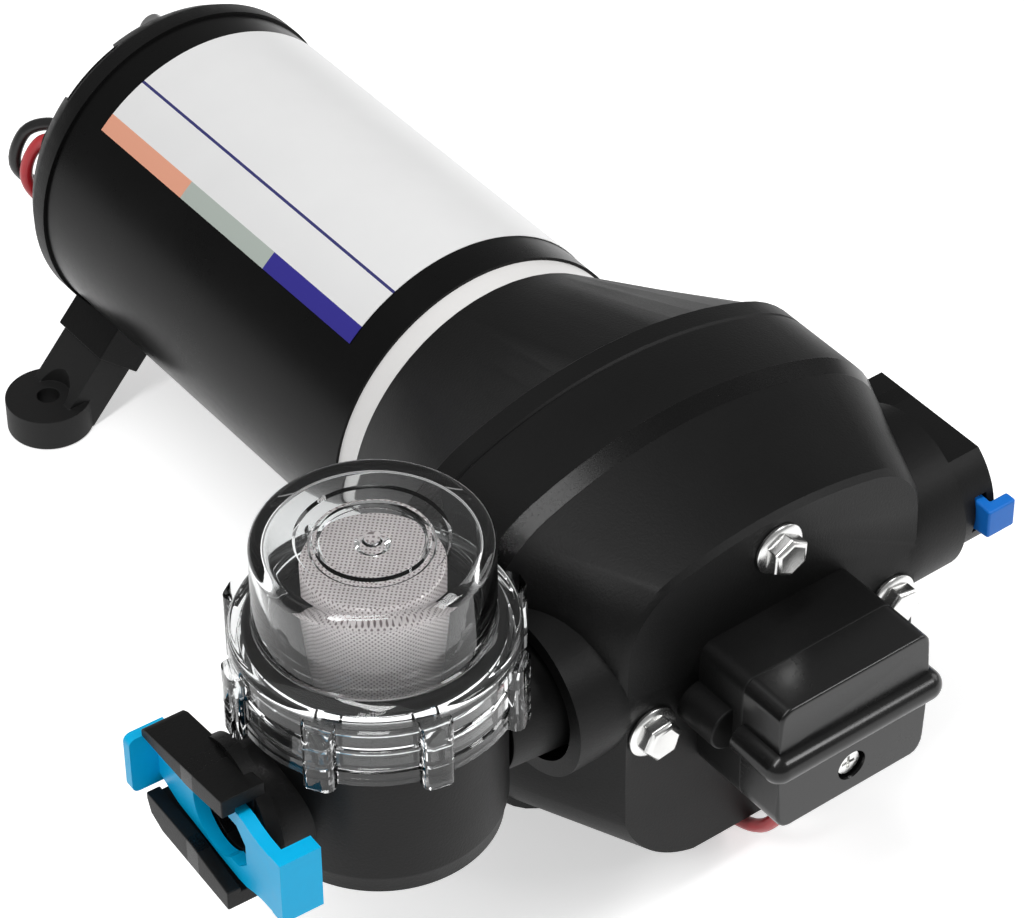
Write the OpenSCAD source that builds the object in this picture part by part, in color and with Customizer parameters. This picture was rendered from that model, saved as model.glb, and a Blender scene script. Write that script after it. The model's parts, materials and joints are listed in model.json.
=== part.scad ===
// Four-chamber diaphragm water pump with a motor, a pressure switch and an inlet strainer
// Millimetres. Origin: middle of the four foot holes, on the mounting plane. The pump head looks to -Y.

/* [Feet] */
// Distance between foot holes, across the motor
foot_pitch_x = 88; // [84:1:96]
// Hole for the fixing screw in each foot
foot_hole_d = 5.2; // [4:0.1:6.5]
// Diameter of a foot's round pad
pad_d = 20; // [18:0.5:23]
// Thickness of a foot's round pad
pad_h = 8; // [6:0.5:10]
// Width of a foot's leg, along the motor
leg_w = 15; // [12:0.5:18]
// Thickness of a foot's leg
leg_t = 10; // [8:0.5:12]
// Height of the motor axis above the mounting plane
axis_h = 52; // [50:0.5:56]

/* [Motor] */
// Outside diameter of the motor can
can_d = 77; // [74:0.5:80]
// Length of the motor can
can_len = 111; // [106:1:120]
// Wall of the motor can
can_wall = 1.8; // [1.2:0.1:2.4]
// Distance from the rear feet to the rear edge of the can
bracket_inset = 3; // [0:0.5:6]
// Depth of the rear end cap
cap_depth = 9; // [8:0.5:12]
// How far the cap's rim stands out past the can
cap_lip = 0.7; // [0.3:0.1:1.5]
// Width of the pale spacer ring
ring_w = 5.4; // [4:0.2:8]
// Diameter of the motor shaft
shaft_d = 8; // [7:0.5:9]
// Outside diameter of the ball bearings
bearing_d = 22; // [20:0.5:24]
// Width of the ball bearings
bearing_w = 7; // [6:0.5:8]
// Length of the rotor core
core_len = 45; // [38:1:50]
// Radial thickness of the magnets
magnet_t = 6.5; // [5:0.5:8]
// Air gap between magnets and rotor
air_gap = 0.8; // [0.5:0.1:1.2]
// Slots in the rotor core and bars on the commutator
slot_count = 12; // [8:1:16]
// Diameter of the commutator
commutator_d = 22; // [20:0.5:26]
// Diameter of the two tie bolts
tie_d = 4; // [3:0.5:5]

/* [Drive housing] */
// Length of the drive housing in front of the can
drive_len = 47.5; // [44:0.5:54]
// Width of the rim at the front joint
rim_w = 6.5; // [4:0.5:10]
// How far the rim stands out from the flare
rim_step = 1.2; // [0.5:0.1:2]
// Inclination of the eccentric hub
cam_tilt = 3; // [2:0.5:4]

/* [Pump head] */
// Half width of the joint flange
flange_hw = 54; // [52:0.5:56]
// Height of the flange above the motor axis
flange_top = 47; // [45:0.5:50]
// Depth of the flange below the motor axis
flange_bottom = 44; // [42:0.5:46]
// Radius of the flange corners
flange_corner = 28; // [24:0.5:30]
// Radius of the crowned top
crown_r = 98; // [90:1:120]
// Length of the straight band behind the step
band_w = 17.5; // [15:0.5:20]
// Length of the bright step
step_w = 4; // [3:0.5:5]
// How far the step comes in
step_in = 2; // [1:0.25:3]
// Length of the tapered nose
nose_len = 27.5; // [25:0.5:32]
// Half width of the front face
face_hw = 38.3; // [37:0.1:41]
// Height of the front face above the motor axis
face_top = 40; // [38.5:0.5:42]
// Depth of the front face below the motor axis
face_bottom = 42; // [40:0.5:43]
// Radius of the front face corners
face_corner = 17; // [15:0.5:19]
// Radius of the circle of head screws
screw_ring_r = 31.2; // [30.8:0.1:32.4]
// Diameter of the head screws
screw_d = 5; // [4:0.25:5.5]
// Diameter of the head screws' flange
screw_flange_d = 11.5; // [10:0.5:12]
// Radius of the circle of pistons
piston_ring_r = 16.5; // [15.5:0.5:17]
// Diameter of a piston
piston_d = 14; // [12:0.5:15]

/* [Ports] */
// Distance of the port axis behind the front face
port_setback = 17.5; // [16:0.5:19]
// Height of the port axis above the motor axis
port_rise = 8; // [7:0.5:10]
// Outside diameter of the port bosses
boss_d = 37; // [35:0.5:39]
// Distance from the middle to the mouth of the inlet boss
inlet_reach = 49.5; // [48.5:0.5:51]
// Distance from the middle to the root of the outlet yoke
outlet_reach = 50.2; // [50:0.1:52]
// Bore of the quick-fit ports
port_bore_d = 15; // [13:0.5:15.6]
// Bore of the inlet socket
socket_d = 25.2; // [24.8:0.1:26.4]
// Length of a clip yoke
yoke_len = 9.6; // [9:0.1:11]
// Radius of a yoke's round nose
yoke_nose_r = 16.3; // [16:0.1:17.5]
// Half height of a yoke
yoke_hh = 12.5; // [12:0.25:13.5]
// Length of the outlet yoke's jaws from the port axis
outlet_jaw = 19.5; // [17:0.5:20]
// Length of the strainer yoke's jaws from the port axis
strainer_jaw = 13; // [11:0.5:15]
// Thickness of a slide clip
clip_t = 2.8; // [2.4:0.1:3]
// Travel of a slide clip
clip_travel = 5; // [4:0.25:5]

/* [Pressure switch] */
// Half width of the switch
switch_hw = 18; // [17:0.5:19]
// Top of the switch above the motor axis
switch_top = 16; // [15:0.5:18]
// Bottom of the switch below the motor axis
switch_bottom = 14.5; // [14:0.5:16]
// Depth of the matt switch base
switch_base_h = 13.5; // [13:0.5:16]
// Depth of the gloss switch cover
switch_cover_h = 7.5; // [7:0.5:10]
// Radius of the bead round the cover
bead_r = 3.5; // [3:0.25:4]
// Wall of the switch base and cover
switch_wall = 1.8; // [1.4:0.1:2.2]
// Travel of the switch plunger
plunger_travel = 0.8; // [0.5:0.1:1]

/* [Strainer] */
// Distance from the inlet socket's seal to the strainer axis
strainer_reach = 41; // [41:0.1:44]
// Angle by which the strainer's outer end is set back in its loose socket
strainer_yaw = 6.5; // [4:0.5:7]
// Roll of the strainer's yoke about its port axis
yoke_roll = 12; // [0:1:15]
// Diameter of the strainer body
strainer_d = 50; // [48:0.5:51]
// Depth of the body below the port axis
strainer_drop = 13; // [13:0.5:16]
// Height of the bowl's seal above the port axis
seal_rise = 31; // [29:0.5:36]
// Height of the bowl above its seal
bowl_h = 22; // [18:0.5:30]
// Outside diameter of the clear bowl
bowl_d = 46.4; // [45:0.2:47]
// Wall of the clear bowl
bowl_wall = 2.4; // [1.8:0.1:3]
// Outside diameter of the bowl's screw skirt
skirt_d = 56; // [54:0.5:58]
// Height of the screw skirt
skirt_h = 16; // [13:0.5:16]
// Lugs round the screw skirt
lug_count = 8; // [6:1:10]
// Outside diameter of the screen
screen_d = 29; // [26:0.5:32]

/* [Wires] */
// Diameter of a wire
wire_d = 3; // [2:0.1:3.2]

/* [Hidden] */
$fn = 64;
// Gap between pieces that slide or turn on each other
slide_gap = 0.3;
// Gap between pieces that are pressed or seated together
seat_gap = 0.1;
// Radial gap of a running fit
run_gap = 0.05;

// Stations along the motor axis, from the rear to the front
can_r = can_d / 2;
can_ri = can_r - can_wall;
block_w = leg_w + 2;
block_gap = 1.1;
foot_pitch_y = can_len - bracket_inset + ring_w + block_w / 2 + block_gap;
rear_feet_y = foot_pitch_y / 2;
front_feet_y = -foot_pitch_y / 2;
can_rear = rear_feet_y + bracket_inset;
can_front = can_rear - can_len;
cap_rear = can_rear + cap_depth;
ring_front = can_front - ring_w;
joint_y = can_front - drive_len;
rim_y = joint_y + rim_w;
band_front = joint_y - band_w;
step_front = band_front - step_w;
face_y = step_front - nose_len;
switch_joint = face_y - switch_base_h;
switch_front = switch_joint - switch_cover_h;
port_y = face_y + port_setback;
port_z = axis_h + port_rise;

// Motor fits
register_r = can_ri - seat_gap;
register_len = 6;
register_wall = 3;
ring_r = can_r - 0.7;
cap_wall = 2.4;
cap_rim_w = 4;
cap_rear_r = can_r - 1.2;
notch_count = 4;
notch_a = 122;
notch_sweep = 25;
notch_depth = 1;
bearing_boss = 3;
shaft_r = shaft_d / 2;
rear_bearing_y = cap_rear - cap_wall - seat_gap;
front_bearing_y = ring_front - bearing_w;
core_r = can_ri - seat_gap - magnet_t - air_gap;
core_y = (can_front + can_rear + core_len) / 2;
magnet_over = 5;
magnet_sweep = 124;
coil_t = 9;
coil_r = core_r - 2;
hub_r = 9;
slot_w = 3;
slot_depth = 12;
commutator_y = can_rear - register_len - 2;
commutator_len = 14;
commutator_r = commutator_d / 2;
bar_gap = 0.8;
bar_gap_depth = 1.5;
holder_y = commutator_y - 2;
holder_t = 2;
brush_w = 6;
brush_h = 8;
brush_len = 13;
brush_in = commutator_r + slide_gap;
guide_wall = 1.2;
spring_t = 0.6;
tie_ring_r = core_r + tie_d / 2 + 0.9;
tie_head_d = tie_d * 1.6;
tie_head_h = tie_d * 0.7;
tie_grip = 12;

// Drive train
shaft_front = joint_y + 13;
cavity_r = piston_ring_r + piston_d / 2 + 3;
cavity_back = front_bearing_y - 3;
cam_back = cavity_back - 2;
cam_hub_len = 6;
cam_hub_wall = 5;
cam_hub_r = shaft_r + cam_hub_wall;
cam_nose_wall = 3;
cam_nose_r = shaft_r + cam_nose_wall;
cam_bearing_w = 8;
cam_bearing_y = cam_back - cam_hub_len - 3;
cam_play = 0.5;
cam_bearing_ri = cam_nose_r + cam_play;
cam_race_t = 5;
cam_bearing_ro = cam_bearing_ri + cam_race_t;
cup_wall = 2.6;
cup_r = cam_bearing_ro + cup_wall;
cup_front = cam_bearing_y - cam_bearing_w - 4;
arm_w = 9;
arm_t = 4;
post_r = arm_w / 2 + 0.6;
diaphragm_t = 1.6;
diaphragm_r = cavity_r + 1.6;
piston_t = 3;
piston_stroke = 2.2;
piston_screw_d = 3;
valve_plate_t = 12;
valve_plate_back = joint_y - diaphragm_t;
valve_plate_front = valve_plate_back - valve_plate_t;
chamber_r = piston_d / 2 + 1.2;
chamber_depth = piston_t + piston_stroke + 1;
valve_d = 8;
valve_t = 1.2;
valve_stem_d = 3;
vent_d = 2.4;
vent_ring_r = 2.6;
plenum_r = diaphragm_r - 6;
plenum_front = face_y + 5;
plenum_wall = 4;
seal_r = 1.2;
seal_ring_r = diaphragm_r - 2.6;

// Head screws
screw_hex = screw_d * 1.6;
screw_hex_h = screw_d * 0.8;
screw_flange_h = 1.4;
screw_bite = 16;
face_edge = 1.2;
joint_edge = 0.5;
flange_rise = flange_top - crown_r
    + sqrt(pow(crown_r - flange_corner, 2) - pow(flange_hw - flange_corner, 2));
nose_hw = flange_hw - step_in;
nose_top = flange_top - step_in * 0.75;
nose_bottom = flange_bottom - step_in * 0.5;
nose_corner = flange_corner - step_in;
face_sole_r = 9;
bow = 0.4;

// Ports and clips
boss_r = boss_d / 2;
boss_root = face_hw + 2.5;
bore_r = port_bore_d / 2;
mouth_r = socket_d / 2 + 2.4;
mouth_depth = 6.5;
socket_end = screw_ring_r + screw_d / 2 + slide_gap + 1.2;
flow_r = port_rise - screw_d / 2 - slide_gap - 0.2;
outlet_bore_x = socket_end + 2.8;
seal_depth = 9.5;
pivot_x = inlet_reach - seal_depth;
lip_t = 1.8;
slot_len = clip_t + 0.4;
slot_x = yoke_len - lip_t - slot_len;
clip_x = slot_x + (slot_len - clip_t) / 2;
clip_hh = 9.2;
slot_hh = clip_hh + slide_gap;
clip_round_y = -1;
slot_round_y = clip_round_y - clip_travel;
tongue_hh = 4.5;
tab_y = outlet_jaw + clip_travel + 1.5;
tab_t = 4;
tab_hh = 6.5;
tab_back = 3;
toe_y = -yoke_nose_r - 0.7;
toe_t = 3;
toe_w = 9;
lip_gap = bore_r + 0.3;
key_r = bore_r + 0.3;
key_slot_hh = bore_r - 2;
collar_r = yoke_nose_r - 1.3;
tube_r = 13;

// Pressure switch
switch_corner = 3;
switch_mid = (switch_top - switch_bottom) / 2;
switch_hh = (switch_top + switch_bottom) / 2;
bead_z = switch_mid + 0.8;
bead_proud = 3;
ear_r = 5;
ear_z = bead_z;
adjuster_z = switch_mid - 10;
adjuster_d = 4;
adjuster_head_d = 5.6;
adjuster_head_h = 1.6;
adjuster_len = 3;
recess_d = 7;
recess_depth = 4;
recess_wall = 1.4;
press_d = 16;
press_t = 1.2;
press_z = switch_mid + 2;
press_port_d = 5;
plunger_d = 7;
plunger_len = 4;
plunger_tip = 1.5;
lever_t = 1.6;
lever_w = 14;
lever_arm = 8.6;
lever_top = press_z + lever_arm;
lever_pin_d = 2;
lever_y = face_y - press_t - plunger_len - 2 * slide_gap;
pin_len = 2 * switch_hw - switch_wall;
snap_w = 20;
snap_h = 10;
snap_t = 6;
spring_d = 6;
spring_wire = 0.8;
spring_turns = 4;
spring_sides = 6;
spring_steps = 12;
spring_back = lever_y - lever_t - spring_wire / 2 - seat_gap;
spring_front = switch_front + recess_depth + adjuster_len + spring_wire / 2 + seat_gap;
button_d = 3;
button_gap = 0.6;
wire_entry_d = wire_d + 0.6;

// Strainer, measured from its port axis
yaw = -strainer_yaw;
body_r = strainer_d / 2;
neck_r = 11.5;
neck_end = strainer_reach - 4.3;
spigot_r = 10.4;
spigot_end = strainer_reach + 3.2;
spigot_bore_r = bore_r - 0.8;
ring_seal_r = 1.6;
ring_groove_r = spigot_r - 1.5;
yoke_root = body_r + 7;
shoulder_rise = seal_rise - skirt_h + 2;
thread_r = body_r - 1;
body_wall = 2.6;
cavity_floor = -strainer_drop + 2.6;
body_edge = 3;
skirt_ri = thread_r + slide_gap + 0.1;
skirt_bottom = seal_rise + 2.4 - skirt_h;
o_ring_r = 1.5;
o_ring_ring_r = thread_r - o_ring_r - 0.2;
bowl_r = bowl_d / 2;
bowl_ri = bowl_r - bowl_wall;
bowl_seat = seal_rise + 2 * o_ring_r + 0.2;
bowl_top = seal_rise + bowl_h;
bowl_edge = 4;
bowl_step = 2.2;
side_rise = port_rise + skirt_bottom - flange_rise;
side_hw = flange_hw - flange_corner + sqrt(pow(flange_corner, 2) - pow(side_rise, 2));
side_gap = [pivot_x + strainer_reach * cos(strainer_yaw) - side_hw,
    band_front - port_y - strainer_reach * sin(strainer_yaw)];
lug_r = min(skirt_d / 2 + 1.8, norm(side_gap) - slide_gap,
    strainer_reach * cos(strainer_yaw) - seal_depth - slide_gap);
lug_w = 9;
nub_r = 3;
nub_h = 1.4;
screen_r = screen_d / 2;
screen_t = 0.8;
screen_band = 4;
screen_top = bowl_top - bowl_wall - nub_h - 1;

// Feet, as a section seen along the motor
shoe_a = 52;
block_len = 9;
block_t = 13;
tongue_t = 5;
tongue_len = 6;
leg_foot = [foot_pitch_x / 2 - 4, pad_h / 2];
leg_head = [can_r * cos(shoe_a), axis_h - can_r * sin(shoe_a)];
leg_axis = (leg_head - leg_foot) / norm(leg_head - leg_foot);
leg_side = [leg_axis[1], -leg_axis[0]];
leg_top = leg_head - leg_axis * block_len;
leg_sunk = 12;
strap_t = 1.6;
strap_hw = axis_h * tan(90 - shoe_a + 6);

// Wires, along points chosen by hand
wire_sides = 8;
wire_steps = 3;
grommet_x = -25.5;
grommet_z = axis_h + 13;
grommet_d = 13;
grommet_lip = 1.5;
grommet_bore = 7.6;
wire_z = wire_d / 2 + 0.1;
wire_end_z = axis_h - switch_bottom + 1.4;
red_route = [[-27, cap_rear - 6, grommet_z], [-27.1, cap_rear + 1.5, grommet_z],
    [-28.6, cap_rear + 6.6, grommet_z - 2.1], [-31, cap_rear + 9, grommet_z - 7.2],
    [-31.8, cap_rear + 9.6, grommet_z - 13.4], [-28.6, cap_rear + 9.2, grommet_z - 20],
    [-22, cap_rear + 8.8, 38.6], [-14.5, cap_rear + 8.2, 30.5], [-7.4, cap_rear + 7.2, 19.5],
    [-1, cap_rear + 4, 9.8], [4.5, cap_rear - 3, 3.6],
    [10, can_rear - 7, wire_z + 0.2], [15, can_rear - 21, wire_z], [18, can_rear - 40, wire_z],
    [19, can_front + 50, wire_z], [19, can_front + 30, wire_z], [18, can_front + 10, wire_z],
    [16, ring_front - 6, wire_z], [12, joint_y + 18, wire_z], [7, joint_y, wire_z],
    [2, joint_y - 18, wire_z + 0.2], [-2, face_y + 14, 2.6],
    [-2.8, face_y + 4, 5.2], [-3, face_y - 3, 9.8], [-3, face_y - 7.4, 17], [-3, face_y - 8.2, 26],
    [-3, face_y - 8, wire_end_z]];
black_route = [[-23.8, cap_rear - 6, grommet_z], [-23.7, cap_rear + 2, grommet_z],
    [-25, cap_rear + 8.4, grommet_z], [-29.2, cap_rear + 13, grommet_z - 3],
    [-32, cap_rear + 14, grommet_z - 11], [-27, cap_rear + 13.6, grommet_z - 19.6],
    [-16.5, cap_rear + 13, 33.5], [-8.5, cap_rear + 12, 21.5], [-1, cap_rear + 8.6, 10.2],
    [6.5, cap_rear + 1, 3.4], [13, can_rear - 5.5, wire_z + 0.2], [19, can_rear - 21, wire_z],
    [22, can_rear - 40, wire_z], [23, can_front + 50, wire_z], [23, can_front + 30, wire_z],
    [22, can_front + 10, wire_z], [20, ring_front - 6, wire_z], [16, joint_y + 18, wire_z],
    [11, joint_y, wire_z], [8, joint_y - 18, wire_z], [8, face_y + 22, wire_z + 0.1], [8.8, face_y + 10, 3],
    [9.2, face_y + 2.5, 5.8], [9.4, face_y - 2.2, 10.2], [9.5, face_y - 4.2, 17.5],
    [9.5, face_y - 4.4, 26], [9.5, face_y - 4.2, wire_end_z]];

// Helpers

function arc(x, y, r, a0, a1, n, skip = 0) =
    [for (i = [skip:n - skip]) let (a = a0 + (a1 - a0) * i / n) [x + r * cos(a), y + r * sin(a)]];

// Points between two ends of a slightly bowed run
function run(a, b, n) = let (d = unit(b - a), out = [d[1], -d[0]])
    [for (i = [1:n - 1]) a + (b - a) * i / n + out * bow * 4 * i * (n - i) / n / n];

// Outline of the pump head: crowned top, round corners, flat sole
function head_outline(hw, top, bottom, corner, sole) =
    let (rise = crown_r - corner,
         side = hw - corner,
         lift = sqrt(rise * rise - side * side),
         z = top - crown_r + lift,
         lean = atan2(lift, side))
    concat(arc(side, z, corner, 0, lean, 10),
        arc(0, top - crown_r, crown_r, lean, 180 - lean, 12, 1),
        arc(-side, z, corner, 180 - lean, 180, 10),
        run([-hw, z], [-hw, sole - bottom], 5),
        arc(sole - hw, sole - bottom, sole, 180, 270, 10),
        run([sole - hw, -bottom], [hw - sole, -bottom], 8),
        arc(hw - sole, sole - bottom, sole, 270, 360, 10),
        run([hw, sole - bottom], [hw, z], 5));

function unit(v) = v / norm(v);
function tangent(path, i) = unit(path[min(i + 1, len(path) - 1)] - path[max(i - 1, 0)]);
function side_of(t) = unit(cross(t, abs(t[2]) < 0.9 ? [0, 0, 1] : [1, 0, 0]));

// A smooth run through a list of points
function smooth(path, n) = concat([for (i = [0:len(path) - 2]) for (j = [0:n - 1])
    let (a = path[max(i - 1, 0)], b = path[i], c = path[i + 1], d = path[min(i + 2, len(path) - 1)],
         t = j / n)
    (2 * b + (c - a) * t + (2 * a - 5 * b + 4 * c - d) * t * t + (3 * b - a - 3 * c + d) * t * t * t) / 2],
    [path[len(path) - 1]]);

// A closed skin over rings of points, each ring with the same number of points
module skin(rings) {
    n = len(rings[0]);
    last = (len(rings) - 1) * n;
    walls = [for (i = [0:len(rings) - 2]) for (k = [0:n - 1])
        let (a = i * n + k, b = i * n + (k + 1) % n)
        each [[a, a + n, b], [b, a + n, b + n]]];
    caps = [[for (k = [0:n - 1]) k], [for (k = [n - 1:-1:0]) last + k]];
    polyhedron(points = [for (r = rings) each r], faces = concat(walls, caps));
}

// A round tube along a list of points
module sweep(path, d, sides) {
    skin([for (i = [0:len(path) - 1])
        let (t = tangent(path, i), u = side_of(t), v = cross(t, u))
        [for (k = [0:sides - 1]) path[i] + d / 2 * (u * cos(360 * k / sides) + v * sin(360 * k / sides))]]);
}

// A shape drawn in x and z, carried to a station and grown towards the front
module slab(y, h) translate([0, y, axis_h]) rotate([90, 0, 0]) linear_extrude(height = h) children();

module disc(y, h, r, x = 0, z = 0) translate([x, y, axis_h + z]) rotate([90, 0, 0]) cylinder(h = h, r = r);

// A section drawn as radius and distance behind a station, spun round the motor axis
module spun(y) translate([0, y, axis_h]) rotate([-90, 0, 0]) rotate_extrude() children();

function flange_in(d) = head_outline(flange_hw - d, flange_top - d, flange_bottom - d, flange_corner - d,
    flange_corner - d);
flange = flange_in(0);
nose = head_outline(nose_hw, nose_top, nose_bottom, nose_corner, nose_corner);
face = head_outline(face_hw, face_top, face_bottom, face_corner, face_sole_r);
face_rim = head_outline(face_hw - face_edge, face_top - face_edge, face_bottom - face_edge,
    face_corner - face_edge, face_sole_r - face_edge);
collar = [for (p = flange) ring_r * unit(p)];

function section(y, outline) = [for (p = outline) [p[0], y, axis_h + p[1]]];

module box_shape(hw, hh, corner) {
    translate([0, switch_mid])
        polygon(concat(arc(hw - corner, hh - corner, corner, 0, 90, 4),
            arc(corner - hw, hh - corner, corner, 90, 180, 4),
            arc(corner - hw, corner - hh, corner, 180, 270, 4),
            arc(hw - corner, corner - hh, corner, 270, 360, 4)));
}

module at_screws(y) {
    for (a = [0:90:270])
        translate([screw_ring_r * cos(a), y, axis_h + screw_ring_r * sin(a)]) rotate([90, 0, 0]) children();
}

module at_pistons(y) {
    for (a = [45:90:315])
        translate([piston_ring_r * cos(a), y, axis_h + piston_ring_r * sin(a)]) rotate([90, 0, 0]) children();
}

module at_ties(y) {
    for (s = [-1, 1]) translate([0, y, axis_h + s * tie_ring_r]) rotate([90, 0, 0]) children();
}

// Frame of the strainer: port axis along x with the pump at +x, strainer axis along z
module at_strainer() {
    translate([-pivot_x, port_y, port_z]) rotate([0, 0, yaw]) translate([-strainer_reach, 0, 0]) children();
}

// Frame of a yoke: mouth at +x, open end of the jaws at +y
module at_outlet_yoke() translate([outlet_reach, port_y, port_z]) children();

module at_strainer_yoke() {
    at_strainer() rotate([0, 0, 180]) rotate([-yoke_roll, 0, 0]) translate([yoke_root, 0, 0]) children();
}

module along_x(x, h, r) translate([x, 0, 0]) rotate([0, 90, 0]) cylinder(h = h, r = r);

module plate_x(x, h) translate([x, 0, 0]) rotate([90, 0, 90]) linear_extrude(height = h) children();

module band(y0, y1, hh) translate([y0, -hh]) square([y1 - y0, 2 * hh]);

// Motor

module motor_can() {
    color("#1a1a1c")
        difference() {
            disc(can_rear, can_len, can_r);
            disc(can_rear + 1, can_len + 2, can_ri);
        }
}

module end_cap() {
    color("#232326")
        difference() {
            union() {
                spun(can_rear)
                    polygon([[0, cap_depth - cap_wall], [can_ri - 4, cap_depth - cap_wall],
                        [can_ri - 4, -register_len], [register_r, -register_len], [register_r, 0],
                        [can_r + cap_lip, 0],
                        [can_r + cap_lip, cap_rim_w], [cap_rear_r, cap_depth - 1.5],
                        [cap_rear_r - 1.2, cap_depth], [0, cap_depth]]);
                disc(cap_rear - cap_wall + 0.5, bearing_w + 1.5, bearing_d / 2 + bearing_boss);
                at_ties(cap_rear - cap_wall + 0.5) cylinder(h = cap_depth - cap_wall, r = tie_d);
            }
            disc(cap_rear - cap_wall, bearing_w + 3, bearing_d / 2 + seat_gap);
            at_ties(cap_rear + 1) cylinder(h = cap_depth + register_len + 2, r = tie_d / 2 + slide_gap);
            for (i = [0:notch_count - 1])
                spun_notch(notch_a + 360 * i / notch_count);
            translate([grommet_x, cap_rear + 1, grommet_z]) rotate([90, 0, 0])
                cylinder(h = cap_depth + 2, r = grommet_d / 2 - grommet_lip + seat_gap);
        }
}

module spun_notch(a) {
    translate([0, cap_rear, axis_h]) rotate([-90, 0, 0]) rotate([0, 0, -a - notch_sweep / 2])
        rotate_extrude(angle = notch_sweep)
            translate([cap_rear_r - 2 * notch_depth, cap_rim_w - cap_depth + 1]) square([8, cap_depth]);
}

module spacer_ring() {
    color("#e9e7e0")
        difference() {
            disc(can_front, ring_w, ring_r);
            disc(can_front + 1, ring_w + 2, register_r + seat_gap);
        }
}

module tie_bolts() {
    color("#9a9c9e")
        at_ties(cap_rear) {
            translate([0, 0, -tie_head_h]) cylinder(h = tie_head_h, r = tie_head_d / 2);
            cylinder(h = cap_rear - ring_front + tie_grip, r = tie_d / 2);
        }
}

module magnets() {
    color("#4a4846")
        for (a = [0, 180])
            translate([0, core_y + magnet_over, axis_h]) rotate([90, 0, 0])
                rotate([0, 0, a - magnet_sweep / 2])
                    rotate_extrude(angle = magnet_sweep)
                        translate([can_ri - seat_gap - magnet_t, 0])
                            square([magnet_t, core_len + 2 * magnet_over]);
}

module motor_shaft() {
    color("#b9bcc0") disc(rear_bearing_y - seat_gap, rear_bearing_y - shaft_front, shaft_r);
}

module rotor_core() {
    color("#7d8084")
        slab(core_y, core_len)
            difference() {
                circle(core_r);
                circle(shaft_r + seat_gap / 5);
                for (i = [0:slot_count - 1])
                    rotate(360 * i / slot_count) translate([core_r - slot_depth, -slot_w / 2])
                        square([slot_depth + 1, slot_w]);
            }
}

// End turns at both ends of the core, as rounded rings
module rotor_windings() {
    color("#b36a35")
        for (y = [core_y, core_y - core_len - coil_t])
            spun(y)
                difference() {
                    translate([hub_r, seat_gap]) square([coil_r - hub_r, coil_t - 2 * seat_gap]);
                    translate([coil_r, y == core_y ? coil_t : 0]) circle(coil_t / 2);
                }
}

module commutator() {
    color("#b5713c")
        slab(commutator_y, commutator_len)
            difference() {
                circle(commutator_r);
                circle(shaft_r + seat_gap / 5);
                for (i = [0:slot_count - 1])
                    rotate(360 * (i + 0.5) / slot_count)
                        translate([commutator_r - bar_gap_depth, -bar_gap / 2])
                            square([bar_gap_depth + 1, bar_gap]);
            }
}

module ball_bearing(y) {
    race = (bearing_d - shaft_d) / 8;
    difference() {
        disc(y, bearing_w, bearing_d / 2);
        disc(y + 1, bearing_w + 2, shaft_r + run_gap);
        spun(y - bearing_w) translate([(bearing_d + shaft_d) / 4 - race, bearing_w - 0.5])
            square([2 * race, 1]);
    }
}

module rear_bearing() color("#c4c6c9") ball_bearing(rear_bearing_y);

module front_bearing() color("#c4c6c9") ball_bearing(ring_front);

module brush_holder() {
    color("#6b4a2b")
        difference() {
            union() {
                disc(holder_y, holder_t, can_ri - 4 - seat_gap);
                for (s = [-1, 1])
                    translate([s * (brush_in + 3 + brush_len / 2) - brush_len / 2,
                        holder_y - holder_t - brush_w - guide_wall, axis_h - brush_h / 2 - guide_wall])
                        cube([brush_len - 1, brush_w + guide_wall + holder_t, brush_h + 2 * guide_wall]);
            }
            disc(holder_y + 1, holder_t + 2 * brush_w, brush_in + 1.5);
            for (s = [-1, 1])
                translate([s * (brush_in + 12) - 15, holder_y - holder_t - brush_w, axis_h - brush_h / 2])
                    cube([30, brush_w, brush_h]);
            at_ties(holder_y + 1) cylinder(h = holder_t + 2, r = tie_d);
        }
}

module brushes() {
    color("#3a3a3a")
        for (s = [-1, 1])
            translate([s * (brush_in + brush_len / 2) - brush_len / 2,
                holder_y - holder_t - brush_w + seat_gap, axis_h - brush_h / 2 + seat_gap])
                cube([brush_len, brush_w - 2 * seat_gap, brush_h - 2 * seat_gap]);
}

// Bent strips that press on the outer ends of the brushes
module brush_springs() {
    color("#c9b27a")
        for (s = [-1, 1]) {
            out = brush_in + brush_len + seat_gap;
            translate([s > 0 ? out : -out - spring_t, holder_y - holder_t - brush_w / 2 - 1.5, axis_h - 2.5])
                cube([spring_t, brush_w / 2 + 1.5, 5]);
        }
}

module wire_grommet() {
    color("#55565a")
        translate([grommet_x, cap_rear, grommet_z]) rotate([90, 0, 0])
            difference() {
                union() {
                    translate([0, 0, -grommet_lip]) cylinder(h = grommet_lip, r = grommet_d / 2);
                    cylinder(h = cap_wall, r = grommet_d / 2 - grommet_lip);
                }
                translate([0, 0, -3]) cylinder(h = cap_wall + 6, r = grommet_bore / 2);
            }
}

module red_wire() color("#c8242b") sweep(smooth(red_route, wire_steps), wire_d, wire_sides);

module black_wire() color("#151516") sweep(smooth(black_route, wire_steps), wire_d, wire_sides);

// Drive housing and pump

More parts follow.
